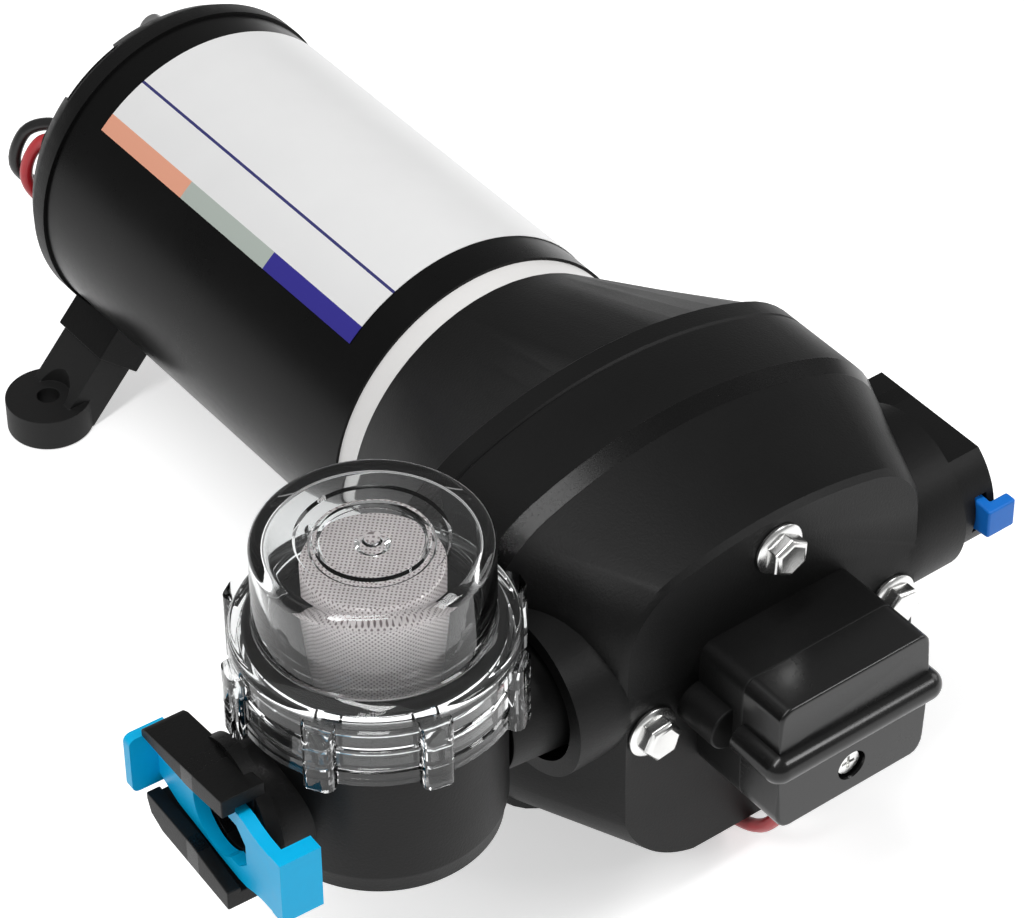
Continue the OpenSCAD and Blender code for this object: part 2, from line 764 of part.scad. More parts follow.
module drive_housing() {
    color("#29292b")
        difference() {
            union() {
                skin([section(ring_front, collar), section(rim_y, flange_in(rim_step)),
                    section(rim_y - rim_step, flange), section(joint_y + joint_edge, flange),
                    section(joint_y, flange_in(joint_edge))]);
                disc(can_front + register_len, ring_w + register_len + 1, register_r);
                for (s = [0, 1]) foot_block(front_feet_y, s);
            }
            disc(can_front + register_len + 1, ring_w + register_len + 1, register_r - register_wall);
            disc(ring_front + 1, bearing_w + 1, bearing_d / 2 + seat_gap);
            disc(ring_front, drive_len, shaft_r + 1.5);
            disc(cavity_back, drive_len, cavity_r);
            at_screws(joint_y + screw_bite) cylinder(h = screw_bite + 1, r = screw_d / 2 + seat_gap);
            at_ties(can_front + register_len + 1)
                cylinder(h = ring_w + register_len + 1 + tie_grip + 1, r = tie_d / 2 + seat_gap);
            for (s = [0, 1]) foot_slot(front_feet_y, s);
        }
}

module eccentric() {
    color("#8d8f92")
        difference() {
            union() {
                disc(cam_back, cam_hub_len, cam_hub_r);
                translate([0, cam_bearing_y - cam_bearing_w / 2, axis_h]) rotate([90 + cam_tilt, 0, 0])
                    cylinder(h = cam_bearing_w + 4, r = cam_nose_r, center = true);
                disc(cam_back - cam_hub_len + 1, 3, cam_nose_r - 1);
            }
            disc(cam_back + 1, cam_hub_len + cam_bearing_w + 12, shaft_r + seat_gap / 5);
        }
}

module cam_bearing() {
    color("#c4c6c9")
        difference() {
            disc(cam_bearing_y, cam_bearing_w, cam_bearing_ro);
            disc(cam_bearing_y + 1, cam_bearing_w + 2, cam_bearing_ri);
        }
}

// Cup round the bearing, with an arm to each piston
module wobble_plate() {
    color("#d8d4c6")
        difference() {
            union() {
                disc(cam_bearing_y, cam_bearing_y - cup_front, cup_r);
                slab(cup_front + arm_t, arm_t)
                    for (a = [45, 135]) rotate(a)
                        translate([-piston_ring_r, -arm_w / 2]) square([2 * piston_ring_r, arm_w]);
                at_pistons(cup_front + arm_t) cylinder(h = cup_front + arm_t - joint_y, r = post_r);
            }
            disc(cam_bearing_y + 1, cam_bearing_w + 1, cam_bearing_ro + seat_gap);
            disc(cam_bearing_y, cam_bearing_w + 3, cam_bearing_ro - 2);
            at_pistons(cup_front + arm_t + 1)
                cylinder(h = cup_front + arm_t + 2 - joint_y, r = piston_screw_d / 2 + seat_gap);
        }
}

module diaphragm() {
    color("#1f1f1f")
        difference() {
            disc(joint_y, diaphragm_t, diaphragm_r);
            at_pistons(joint_y + 1) cylinder(h = diaphragm_t + 2, r = piston_screw_d / 2 + seat_gap);
        }
}

module pistons() {
    color("#e3dfd2")
        at_pistons(joint_y - diaphragm_t)
            difference() {
                cylinder(h = piston_t, r = piston_d / 2);
                translate([0, 0, -1]) cylinder(h = piston_t + 2, r = piston_screw_d / 2 + seat_gap);
            }
}

module piston_screws() {
    color("#aeb1b4")
        at_pistons(joint_y + 5) {
            cylinder(h = 5 + diaphragm_t + piston_t, r = piston_screw_d / 2);
            translate([0, 0, 5 + diaphragm_t + piston_t]) cylinder(h = 1.6, r = piston_screw_d);
        }
}

// Four chambers at the back; inlet vents in each chamber, outlet vents in the middle
module valve_plate() {
    color("#cfcabb")
        difference() {
            disc(valve_plate_back, valve_plate_t, diaphragm_r);
            at_pistons(valve_plate_back + 1) cylinder(h = chamber_depth + 1, r = chamber_r);
            at_pistons(valve_plate_back) {
                cylinder(h = valve_plate_t + 1, r = valve_stem_d / 2 + seat_gap);
                for (a = [0:90:270]) rotate(a) translate([vent_ring_r, 0, 0])
                    cylinder(h = valve_plate_t + 1, r = vent_d / 2);
            }
            disc(valve_plate_back + 1, valve_plate_t + 2, valve_stem_d / 2 + seat_gap);
            for (a = [0:90:270])
                disc(valve_plate_back + 1, valve_plate_t + 2, vent_d / 2,
                    vent_ring_r * cos(a), vent_ring_r * sin(a));
            spun(valve_plate_front) translate([seal_ring_r - seal_r - seat_gap, -1])
                square([2 * (seal_r + seat_gap), 2 * seal_r + seat_gap + 1]);
        }
}

module umbrella_valve() {
    cylinder(h = valve_t, r = valve_d / 2);
    cylinder(h = valve_plate_t - chamber_depth + valve_t, r = valve_stem_d / 2);
}

module inlet_valves() {
    color("#8a2f2a")
        at_pistons(valve_plate_back - chamber_depth + valve_t) umbrella_valve();
}

module outlet_valve() {
    color("#8a2f2a")
        translate([0, valve_plate_front - valve_t, axis_h]) rotate([-90, 0, 0]) umbrella_valve();
}

module head_seal() {
    color("#18181a") spun(valve_plate_front) translate([seal_ring_r, seal_r]) circle(seal_r);
}

// Boss with a domed root inside the nose
module port_boss(reach) {
    rotate_extrude()
        polygon(concat([[0, reach], [0, boss_root - boss_r]], arc(0, boss_root, boss_r, -90, 0, 12, 1),
            [[boss_r, boss_root], [boss_r, reach]]));
}

// Band, bright step, tapered nose, port bosses and outlet yoke
module pump_head() {
    color("#2c2c2e")
        difference() {
            union() {
                skin([section(joint_y, flange_in(joint_edge)), section(joint_y - joint_edge, flange),
                    section(band_front, flange), section(step_front, nose),
                    section(face_y + face_edge, face), section(face_y, face_rim)]);
                translate([0, port_y, port_z]) {
                    rotate([0, -90, 0]) port_boss(inlet_reach);
                    rotate([0, 90, 0]) port_boss(outlet_reach);
                }
                at_outlet_yoke() yoke_body(outlet_jaw);
            }
            disc(joint_y + 1, diaphragm_t + valve_plate_t + 1, diaphragm_r + seat_gap);
            difference() {
                disc(valve_plate_front + 1, valve_plate_front + 1 - plenum_front, plenum_r);
                translate([-plenum_wall / 2, plenum_front - 1, axis_h - plenum_r - 1])
                    cube([plenum_wall, valve_plate_front - seal_r - plenum_front, 2 * plenum_r + 2]);
            }
            translate([0, port_y, port_z]) {
                along_x(-flange_hw - 1, flange_hw + 1 - inlet_reach + mouth_depth, mouth_r);
                along_x(-inlet_reach, inlet_reach - socket_end, socket_d / 2);
                along_x(-inlet_reach, inlet_reach - plenum_wall / 2, flow_r);
                along_x(plenum_wall / 2, outlet_reach, flow_r);
                along_x(outlet_bore_x, outlet_reach + slot_x + 1 - outlet_bore_x, bore_r);
            }
            at_outlet_yoke() yoke_cuts(outlet_jaw);
            disc(face_y + 6, 7, press_port_d / 2, plenum_wall / 2 + press_port_d / 2, press_z);
            at_screws(joint_y + 1) cylinder(h = joint_y + 2 - face_y, r = screw_d / 2 + slide_gap);
        }
}

// Solid of a quick-fit yoke: round nose at -y, straight jaws at +y
module yoke_body(jaw) {
    plate_x(0, yoke_len)
        intersection() {
            union() {
                circle(yoke_nose_r);
                translate([0, -yoke_hh]) square([jaw, 2 * yoke_hh]);
            }
            translate([-2 * yoke_nose_r, -yoke_hh]) square([2 * yoke_nose_r + jaw, 2 * yoke_hh]);
        }
}

// Slot for the clip and gap between the jaws
module yoke_cuts(jaw) {
    plate_x(slot_x, slot_len) {
        translate([slot_round_y, 0]) circle(slot_hh);
        band(slot_round_y, jaw + 1, slot_hh);
        band(-yoke_nose_r - 1, slot_round_y, tongue_hh + slide_gap);
    }
    plate_x(slot_x + slot_len - 0.5, lip_t + 1.5) {
        circle(lip_gap);
        band(0, jaw + 1, lip_gap);
    }
}

// Slide clip, open at rest: a keyhole, a shoulder at the open end and a toe past the nose
module slide_clip(shoulder) {
    plate_x(clip_x, clip_t)
        difference() {
            union() {
                translate([clip_round_y, 0]) circle(clip_hh);
                band(clip_round_y, shoulder, clip_hh);
                band(toe_y, tab_y, tongue_hh);
            }
            circle(key_r);
            band(0, clip_travel, key_slot_hh);
            translate([clip_travel, 0]) circle(key_slot_hh);
        }
    plate_x(clip_x, toe_w) band(toe_y - toe_t, toe_y, tongue_hh);
}

module outlet_clip() {
    color("#2f7fe0")
        at_outlet_yoke() {
            slide_clip(outlet_jaw - clip_travel);
            plate_x(clip_x, toe_w) band(tab_y, tab_y + tab_t, tongue_hh);
        }
}

module head_screws() {
    color("#d5d8da")
        at_screws(face_y) {
            translate([0, 0, face_y - joint_y - screw_bite + 1])
                cylinder(h = joint_y - face_y + screw_bite - 1, r = screw_d / 2);
            cylinder(h = screw_flange_h, r = screw_flange_d / 2);
            translate([0, 0, screw_flange_h]) cylinder(h = screw_hex_h, r = screw_hex / sqrt(3), $fn = 6);
        }
}

// Pressure switch

module switch_base() {
    color("#262628")
        difference() {
            union() {
                slab(face_y, switch_base_h) box_shape(switch_hw, switch_hh, switch_corner);
                for (s = [-1, 1]) disc(face_y, switch_base_h - 3, ear_r, s * switch_hw, ear_z);
            }
            slab(face_y - switch_wall, switch_base_h)
                box_shape(switch_hw - switch_wall, switch_hh - switch_wall, switch_corner / 2);
            disc(face_y + 1, switch_wall + 2, press_d / 2 + seat_gap, 0, press_z);
            for (p = [red_route, black_route])
                translate([last_of(p)[0], last_of(p)[1], axis_h - switch_bottom - 1])
                    cylinder(h = switch_wall + 2, r = wire_entry_d / 2);
            translate([0, lever_y - lever_t / 2, axis_h + lever_top]) rotate([0, 90, 0])
                cylinder(h = pin_len + 2 * seat_gap, r = lever_pin_d / 2 + seat_gap / 2, center = true);
        }
}

function last_of(path) = path[len(path) - 1];

module switch_diaphragm() {
    color("#1b1b1b") disc(face_y, press_t, press_d / 2, 0, press_z);
}

module switch_plunger() {
    color("#dcd8cc") {
        disc(face_y - press_t - slide_gap, plunger_len - plunger_tip, plunger_d / 2, 0, press_z);
        disc(face_y - press_t - slide_gap, plunger_len, plunger_tip, 0, press_z);
    }
}

module switch_lever() {
    color("#b4b7ba")
        difference() {
            union() {
                translate([-lever_w / 2, lever_y - lever_t, axis_h + adjuster_z - 3])
                    cube([lever_w, lever_t, lever_top - adjuster_z + 3]);
                translate([0, lever_y - lever_t / 2, axis_h + lever_top]) rotate([0, 90, 0])
                    cylinder(h = lever_w, r = lever_pin_d / 2 + 1, center = true);
            }
            translate([0, lever_y - lever_t / 2, axis_h + lever_top]) rotate([0, 90, 0])
                cylinder(h = lever_w + 2, r = lever_pin_d / 2 + run_gap, center = true);
        }
}

module lever_pin() {
    color("#c6c8cb")
        translate([0, lever_y - lever_t / 2, axis_h + lever_top]) rotate([0, 90, 0])
            cylinder(h = pin_len, r = lever_pin_d / 2, center = true);
}

// Coil between the lever and the adjusting screw
module switch_spring() {
    n = spring_turns * spring_steps;
    path = [for (i = [0:n])
        let (a = 360 * i / spring_steps)
        [spring_d / 2 * cos(a), spring_back + (spring_front - spring_back) * i / n,
            axis_h + adjuster_z + spring_d / 2 * sin(a)]];
    color("#bfc2c5") sweep(path, spring_wire, spring_sides);
}

module snap_switch() {
    back = switch_front + switch_wall + snap_t;
    color("#3b3b40") {
        translate([-snap_w / 2, back - snap_t, axis_h + press_z]) cube([snap_w, snap_t, snap_h]);
        disc(lever_y - lever_t - button_gap, lever_y - lever_t - button_gap - back + 1, button_d / 2, 0,
            press_z + snap_h / 3);
    }
}

module bead_bar(r, reach) {
    y = switch_front + r - bead_proud;
    translate([0, y, axis_h + bead_z]) {
        rotate([0, 90, 0]) cylinder(h = 2 * reach, r = r, center = true);
        for (s = [-1, 1]) translate([s * reach, 0, 0]) {
            sphere(r);
            rotate([-90, 0, 0]) cylinder(h = switch_joint - y, r = r);
        }
    }
}

module switch_cover() {
    color("#1d1d1f")
        difference() {
            union() {
                difference() {
                    union() {
                        slab(switch_joint, switch_cover_h) box_shape(switch_hw, switch_hh, switch_corner);
                        bead_bar(bead_r, switch_hw - bead_r + bead_proud);
                    }
                    slab(switch_joint + 1, switch_cover_h + 1 - switch_wall)
                        box_shape(switch_hw - switch_wall, switch_hh - switch_wall, switch_corner / 2);
                }
                disc(switch_front + recess_depth + recess_wall, recess_depth + recess_wall,
                    recess_d / 2 + recess_wall, 0, adjuster_z);
            }
            disc(switch_front + recess_depth, 20, recess_d / 2, 0, adjuster_z);
            disc(switch_front + 20, 30, adjuster_d / 2 + run_gap, 0, adjuster_z);
        }
}

module adjusting_screw() {
    color("#cfd2d4")
        translate([0, switch_front + recess_depth, axis_h + adjuster_z]) rotate([90, 0, 0])
            difference() {
                union() {
                    translate([0, 0, 0.1]) cylinder(h = adjuster_head_h, r = adjuster_head_d / 2);
                    translate([0, 0, 0.1 - adjuster_len]) cylinder(h = adjuster_len, r = adjuster_d / 2);
                }
                for (a = [0, 90]) rotate(a)
                    translate([-1.6, -0.35, adjuster_head_h - 0.8]) cube([3.2, 0.7, 2]);
            }
}

// Strainer

module strainer_body() {
    color("#2a2a2c")
        difference() {
            union() {
                at_strainer() {
                    rotate_extrude()
                        polygon([[0, -strainer_drop], [body_r - body_edge, -strainer_drop],
                            [body_r - 0.9, -strainer_drop + 0.9], [body_r, -strainer_drop + body_edge],
                            [body_r, shoulder_rise], [thread_r, shoulder_rise], [thread_r, seal_rise],
                            [0, seal_rise]]);
                    along_x(0, neck_end, neck_r);
                    along_x(0, spigot_end, spigot_r);
                    along_x(-yoke_root - 1, yoke_root + 1, tube_r);
                    along_x(-yoke_root - 1, 4, collar_r);
                }
                at_strainer_yoke() yoke_body(strainer_jaw);
            }
            at_strainer() {
                translate([0, 0, cavity_floor])
                    cylinder(h = strainer_drop + seal_rise + 9, r = thread_r - body_wall);
                along_x(0, spigot_end + 1, spigot_bore_r);
                along_x(-yoke_root - slot_x - 1, yoke_root + slot_x + 1, bore_r);
                translate([strainer_reach, 0, 0]) rotate([0, 90, 0]) rotate_extrude()
                    translate([ring_groove_r + ring_seal_r, 0]) square(2 * ring_seal_r + 0.2, center = true);
            }
            at_strainer_yoke() yoke_cuts(strainer_jaw);
        }
}

module spigot_seal() {
    color("#161617")
        at_strainer() translate([strainer_reach, 0, 0]) rotate([0, 90, 0]) rotate_extrude()
            translate([ring_groove_r + ring_seal_r + seat_gap, 0]) circle(ring_seal_r);
}

// Screen cup, closed at the top, with a moulded band at each end
module screen_section() {
    translate([screen_r - screen_t, cavity_floor + seat_gap])
        square([screen_t, screen_top - cavity_floor - seat_gap]);
    translate([0, screen_top - screen_t]) square([screen_r, screen_t]);
    for (z = [cavity_floor + seat_gap, screen_top - screen_band])
        translate([screen_r - 2 * screen_t, z]) square([3 * screen_t, screen_band]);
}

module strainer_screen() {
    color("#c9c2ba") at_strainer() rotate_extrude() screen_section();
}

module bowl_seal() {
    color("#141415")
        at_strainer() translate([0, 0, seal_rise + o_ring_r + seat_gap]) rotate_extrude()
            translate([o_ring_ring_r, 0]) circle(o_ring_r);
}

// Clear bowl with a stepped shoulder and a lugged screw skirt
module strainer_bowl() {
    color([0.85, 0.9, 0.92, 0.35])
        at_strainer()
            difference() {
                union() {
                    rotate_extrude()
                        polygon(concat([[0, skirt_bottom], [skirt_d / 2, skirt_bottom],
                            [skirt_d / 2, bowl_seat - 0.6], [skirt_d / 2 - 1, bowl_seat + 0.4],
                            [bowl_r + 1, bowl_seat + bowl_step - 1], [bowl_r, bowl_seat + bowl_step]],
                            arc(bowl_r - bowl_edge, bowl_top - bowl_edge, bowl_edge, 0, 90, 6),
                            [[0, bowl_top]]));
                    for (i = [0:lug_count - 1])
                        rotate([0, 0, 360 * (i + 0.5) / lug_count])
                            translate([skirt_d / 2 - 1, -lug_w / 2, skirt_bottom])
                                cube([lug_r - skirt_d / 2 + 1, lug_w, skirt_h]);
                }
                translate([0, 0, skirt_bottom - 1]) cylinder(h = bowl_seat - skirt_bottom + 1, r = skirt_ri);
                rotate_extrude()
                    polygon(concat([[0, bowl_seat - 1], [bowl_ri, bowl_seat - 1]],
                        arc(bowl_ri - bowl_edge + 1, bowl_top - bowl_wall - bowl_edge + 1,
                            bowl_edge - 1, 0, 90, 4),
                        [[nub_r + 1, bowl_top - bowl_wall], [nub_r, bowl_top - bowl_wall - nub_h],
                            [0, bowl_top - bowl_wall - nub_h]]));
            }
}

module strainer_clip() {
    color("#2f9ae8")
        at_strainer_yoke() {
            slide_clip(tab_y);
            plate_x(clip_x + clip_t - toe_w - tab_back, toe_w + tab_back) band(tab_y, tab_y + tab_t, tab_hh);
        }
}

// Feet

module leg_strip(u0, u1, t, left = 0) {
    a = leg_top + leg_axis * u0;
    b = leg_top + leg_axis * u1;
    strip = [a + leg_side * t / 2, b + leg_side * t / 2, b - leg_side * t / 2, a - leg_side * t / 2];
    polygon(left == 0 ? strip : [for (i = [3:-1:0]) [-strip[i][0], strip[i][1]]]);
}

// A section seen along the motor, carried to a pair of feet and mirrored for the left side
module at_foot(y, w, left) {
    mirror([left, 0, 0]) translate([0, y + w / 2, 0]) rotate([90, 0, 0])
        linear_extrude(height = w) children();
}

module foot_block(y, left) at_foot(y, block_w, left) leg_strip(0, block_len + leg_sunk, block_t);

module foot_slot(y, left) {
    at_foot(y, leg_w - 4, left) leg_strip(-1, tongue_len + seat_gap, tongue_t + 2 * seat_gap);
}

module foot(y, left) {
    difference() {
        union() {
            at_foot(y, leg_w, left)
                intersection() {
                    leg_strip(-60, 0, leg_t);
                    square([foot_pitch_x, axis_h]);
                    translate([foot_pitch_x / 2 - pad_d, 0]) square([pad_d + 2, axis_h]);
                }
            at_foot(y, leg_w - 4 - 2 * seat_gap, left) leg_strip(-1, tongue_len, tongue_t);
            mirror([left, 0, 0]) translate([foot_pitch_x / 2, y, 0]) cylinder(h = pad_h, r = pad_d / 2);
        }
        mirror([left, 0, 0]) translate([foot_pitch_x / 2, y, 0]) {
            translate([0, 0, -1]) cylinder(h = axis_h / 2, r = foot_hole_d / 2);
            translate([0, 0, pad_h]) cylinder(h = axis_h / 2, r = foot_hole_d);
        }
    }
}

// Strap under the can with a block on each side
module bracket_section() {
    difference() {
        union() {
            for (s = [0, 1]) leg_strip(0, block_len + leg_sunk, block_t, s);
            intersection() {
                translate([0, axis_h]) circle(can_r + seat_gap + strap_t);
                polygon([[0, axis_h], [-strap_hw, 0], [strap_hw, 0]]);
            }
        }
        translate([0, axis_h]) circle(can_r + seat_gap);
    }
}

module rear_bracket() {
    color("#232325")
        difference() {
            at_foot(rear_feet_y, block_w, 0) bracket_section();
            disc(cap_rear, cap_depth + seat_gap, can_r + cap_lip + seat_gap);
            for (s = [0, 1]) foot_slot(rear_feet_y, s);
        }
}

module rear_feet() {
    color("#1c1c1d")
        for (s = [0, 1]) foot(rear_feet_y, s);
}

module front_feet() {
    color("#1c1c1d")
        for (s = [0, 1]) foot(front_feet_y, s);
}

motor_can();
end_cap();
spacer_ring();
tie_bolts();
magnets();
motor_shaft();
rotor_core();
rotor_windings();
commutator();
rear_bearing();
front_bearing();
brush_holder();
brushes();
brush_springs();
wire_grommet();
red_wire();
black_wire();
drive_housing();
eccentric();
cam_bearing();
wobble_plate();
diaphragm();
pistons();
piston_screws();
valve_plate();
inlet_valves();
outlet_valve();
head_seal();
pump_head();
head_screws();
switch_base();
switch_diaphragm();
switch_plunger();
switch_lever();
lever_pin();
switch_spring();
snap_switch();
switch_cover();
adjusting_screw();
outlet_clip();
strainer_body();
spigot_seal();
strainer_screen();
bowl_seal();
strainer_bowl();
strainer_clip();
rear_bracket();
rear_feet();
front_feet();
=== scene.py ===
import bpy
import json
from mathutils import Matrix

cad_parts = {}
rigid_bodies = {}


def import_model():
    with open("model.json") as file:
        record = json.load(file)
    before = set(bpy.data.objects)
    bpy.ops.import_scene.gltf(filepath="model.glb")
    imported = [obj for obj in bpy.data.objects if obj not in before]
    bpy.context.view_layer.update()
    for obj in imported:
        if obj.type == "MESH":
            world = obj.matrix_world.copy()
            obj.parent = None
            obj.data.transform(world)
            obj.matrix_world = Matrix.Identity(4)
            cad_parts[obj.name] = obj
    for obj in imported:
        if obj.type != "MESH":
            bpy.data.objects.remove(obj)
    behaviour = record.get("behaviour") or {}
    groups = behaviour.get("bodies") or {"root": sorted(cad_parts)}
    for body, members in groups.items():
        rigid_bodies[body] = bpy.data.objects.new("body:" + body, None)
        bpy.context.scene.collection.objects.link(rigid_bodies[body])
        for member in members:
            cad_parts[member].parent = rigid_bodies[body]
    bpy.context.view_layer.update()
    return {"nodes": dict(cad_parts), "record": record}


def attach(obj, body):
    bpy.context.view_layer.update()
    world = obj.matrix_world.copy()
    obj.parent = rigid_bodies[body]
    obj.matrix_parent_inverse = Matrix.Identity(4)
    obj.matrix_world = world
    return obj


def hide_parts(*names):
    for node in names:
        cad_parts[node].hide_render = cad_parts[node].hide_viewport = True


for leftover in list(bpy.data.objects):
    bpy.data.objects.remove(leftover)
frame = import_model()

import bmesh
import json
import math
from mathutils import Matrix, Vector

mm = 0.001
record = frame["record"]
bodyOf = {node: body for body, nodes in record["behaviour"]["bodies"].items() for node in nodes}
slotOf = {part["node"]: part["material_slot"] for part in record["subparts"]}
scene = bpy.context.scene
scene.view_settings.view_transform = "Standard"

# camera

cameraSet = {
    "target": (-11.1, -71.9, 62.95),
    "distance": 894.0,
    "azimuth": -37.1,
    "elevation": 41.2,
    "roll": -0.5,
    "focalPixels": 4320.0,
    "imageWidth": 1024.0,
    "sensor": 36.0,
}


def makeCamera(c):
    turn, lift, roll = (math.radians(c[k]) for k in ("azimuth", "elevation", "roll"))
    back = Vector((math.sin(turn) * math.cos(lift), -math.cos(turn) * math.cos(lift), math.sin(lift)))
    right = Vector((math.cos(turn), math.sin(turn), 0))
    up = back.cross(right)
    right, up = (math.cos(roll) * right + math.sin(roll) * up, math.cos(roll) * up - math.sin(roll) * right)
    data = bpy.data.cameras.new("camera")
    data.sensor_fit = "HORIZONTAL"
    data.sensor_width = c["sensor"]
    data.lens = c["focalPixels"] / c["imageWidth"] * c["sensor"]
    data.clip_start, data.clip_end = 0.01, 50
    camera = bpy.data.objects.new("camera", data)
    turned = Matrix((right, up, back)).transposed().to_4x4()
    camera.matrix_world = Matrix.Translation((Vector(c["target"]) + back * c["distance"]) * mm) @ turned
    scene.collection.objects.link(camera)
    scene.camera = camera


makeCamera(cameraSet)
print("camera set")


# finishes

class Wire:  # a socket that can be reckoned with
    def __init__(self, socket):
        self.socket = socket

    def sum(self, operation, other=0.0, flipped=False):
        node = self.socket.id_data.nodes.new("ShaderNodeMath")
        node.operation = operation
        for entry, value in zip(node.inputs, (other, self) if flipped else (self, other)):
            feed(entry, value)
        return Wire(node.outputs[0])

    def __add__(self, other):
        return self.sum("ADD", other)

    def __sub__(self, other):
        return self.sum("SUBTRACT", other)

    def __rsub__(self, other):
        return self.sum("SUBTRACT", other, True)

    def __mul__(self, other):
        return self.sum("MULTIPLY", other)

    def __gt__(self, other):
        return self.sum("GREATER_THAN", other)

    def __lt__(self, other):
        return self.sum("LESS_THAN", other)

    __radd__ = __add__
    __rmul__ = __mul__


def feed(entry, value):
    if isinstance(value, Wire):
        entry.id_data.links.new(value.socket, entry)
    else:
        entry.default_value = value


class Finish:  # a material built up from nodes
    def __init__(self, name, **fixed):
        self.material = bpy.data.materials.new(name)
        self.material.use_nodes = True
        self.tree = self.material.node_tree
        self.shader = self.tree.nodes["Principled BSDF"]
        self.set(**fixed)

    def set(self, **values):  # underscores stand for the spaces in a socket's name
        for key, value in values.items():
            feed(self.shader.inputs[key.replace("_", " ")], value)

    def node(self, kind, settings, sockets, out=0):
        made = self.tree.nodes.new(kind)
        for key, value in settings.items():
            setattr(made, key, value)
        for key, value in sockets.items():
            feed(made.inputs[key], value)
        return Wire(made.outputs[out])

    def place(self):
        return self.node("ShaderNodeTexCoord", {}, {}, "Object")

    def axes(self, at=None):  # the three coordinates, each on its own
        split = self.node("ShaderNodeSeparateXYZ", {}, {"Vector": at or self.place()}).socket.node
        return [Wire(output) for output in split.outputs]

    def noise(self, size, detail=2.0, rough=0.5):
        return self.node("ShaderNodeTexNoise", {}, {
            "Vector": self.place(), "Scale": 1 / (size * mm), "Detail": detail, "Roughness": rough}, "Fac")

    def mix(self, share, first, second):
        return self.node("ShaderNodeMix", {"data_type": "RGBA"}, {0: share, 6: first, 7: second}, 2)

    def bump(self, height, depth):
        return self.node("ShaderNodeBump", {}, {"Height": height, "Distance": depth * mm, "Strength": 1.0})


def grey(value):
    return (value, value, value, 1.0)


def mouldedFinish(name, dark, pale, rough, grain, depth, band=None, **fixed):
    f = Finish(name, **fixed)
    fine, broad = f.noise(grain, 3.0, 0.6), f.noise(18.0, 2.0)
    f.set(Base_Color=f.mix(broad * 0.6 + fine * 0.4, dark, pale))
    spread = rough + (broad - 0.5) * 0.12 + (fine - 0.5) * 0.1
    if band:  # a smoother strip between two stations of the motor's axis
        front, rear, smoother, flatter = band
        y = f.axes()[1]
        inside = (y > front * mm) * (y < rear * mm)
        spread, fine = spread - inside * smoother, fine * (1 - inside * flatter)
    f.set(Roughness=spread)
    f.set(Normal=f.bump(fine, depth))
    return f.material


def metalFinish(name, dark, pale, rough):
    f = Finish(name, Metallic=1.0)
    brushed, cloud = f.noise(0.35, 3.0, 0.6), f.noise(6.0, 2.0)
    f.set(Base_Color=f.mix(cloud, dark, pale))
    f.set(Roughness=rough + (brushed - 0.5) * 0.12 + (cloud - 0.5) * 0.1)
    f.set(Normal=f.bump(brushed, 0.004))
    return f.material


# where the strainer's axis stands and how far it is yawed
strainerSet = {"x": -80.736, "y": -120.859, "z": 60.0, "yaw": -6.5}


def meshFinish(name):  # woven wire round the strainer's axis
    weave = {"radius": 14.5, "pitch": 1.15, "wire": 0.62, "thinner": 0.12, "thicker": 0.2, "crown": 0.1}
    top = max(v.co.z for v in frame["nodes"]["strainer_screen"].data.vertices)
    f = Finish(name, Metallic=0.2)
    centred = (-strainerSet["x"] * mm, -strainerSet["y"] * mm, 0)
    x, y, z = f.axes(f.node("ShaderNodeMapping", {"vector_type": "POINT"}, {
        "Vector": f.place(), "Location": centred}))
    turns = math.pi / (weave["pitch"] * mm)
    flat = z > top - weave["crown"] * mm
    across = (y.sum("ARCTAN2", x) * (weave["radius"] * mm)) * (1 - flat) + x * flat
    along = z * (1 - flat) + y * flat
    wire = ((across + along) * turns).sum("SINE").sum("ABSOLUTE")
    wire = wire.sum("MAXIMUM", ((across - along) * turns).sum("SINE").sum("ABSOLUTE"))
    low, high = weave["wire"] - weave["thinner"], weave["wire"] + weave["thicker"]
    shown = f.node("ShaderNodeMapRange", {"interpolation_type": "SMOOTHSTEP"}, {
        "Value": wire, "From Min": low, "From Max": high})
    tint = f.mix(f.noise(4.0), (0.86, 0.78, 0.78, 1), (0.94, 0.88, 0.88, 1))
    f.set(Base_Color=f.mix(shown, (0.3, 0.24, 0.24, 1), tint), Roughness=0.5 - shown * 0.15)
    f.set(Normal=f.bump(shown, 0.15))
    return f.material


def clearFinish(name):
    f = Finish(name, Transmission_Weight=1.0, IOR=1.47, Base_Color=(0.965, 0.975, 0.975, 1))
    f.set(Roughness=0.015 + f.noise(9.0, 2.0) * 0.03)
    return f.material


def laminatedFinish(name):
    f = Finish(name, Metallic=1.0)
    pitch = 0.5 * mm  # one steel sheet
    sheets = (f.axes()[1] * (math.pi / pitch)).sum("SINE").sum("ABSOLUTE")
    f.set(Base_Color=f.mix(sheets, grey(0.22), grey(0.42)), Roughness=0.5 - sheets * 0.15)
    f.set(Normal=f.bump(sheets, 0.05))
    return f.material


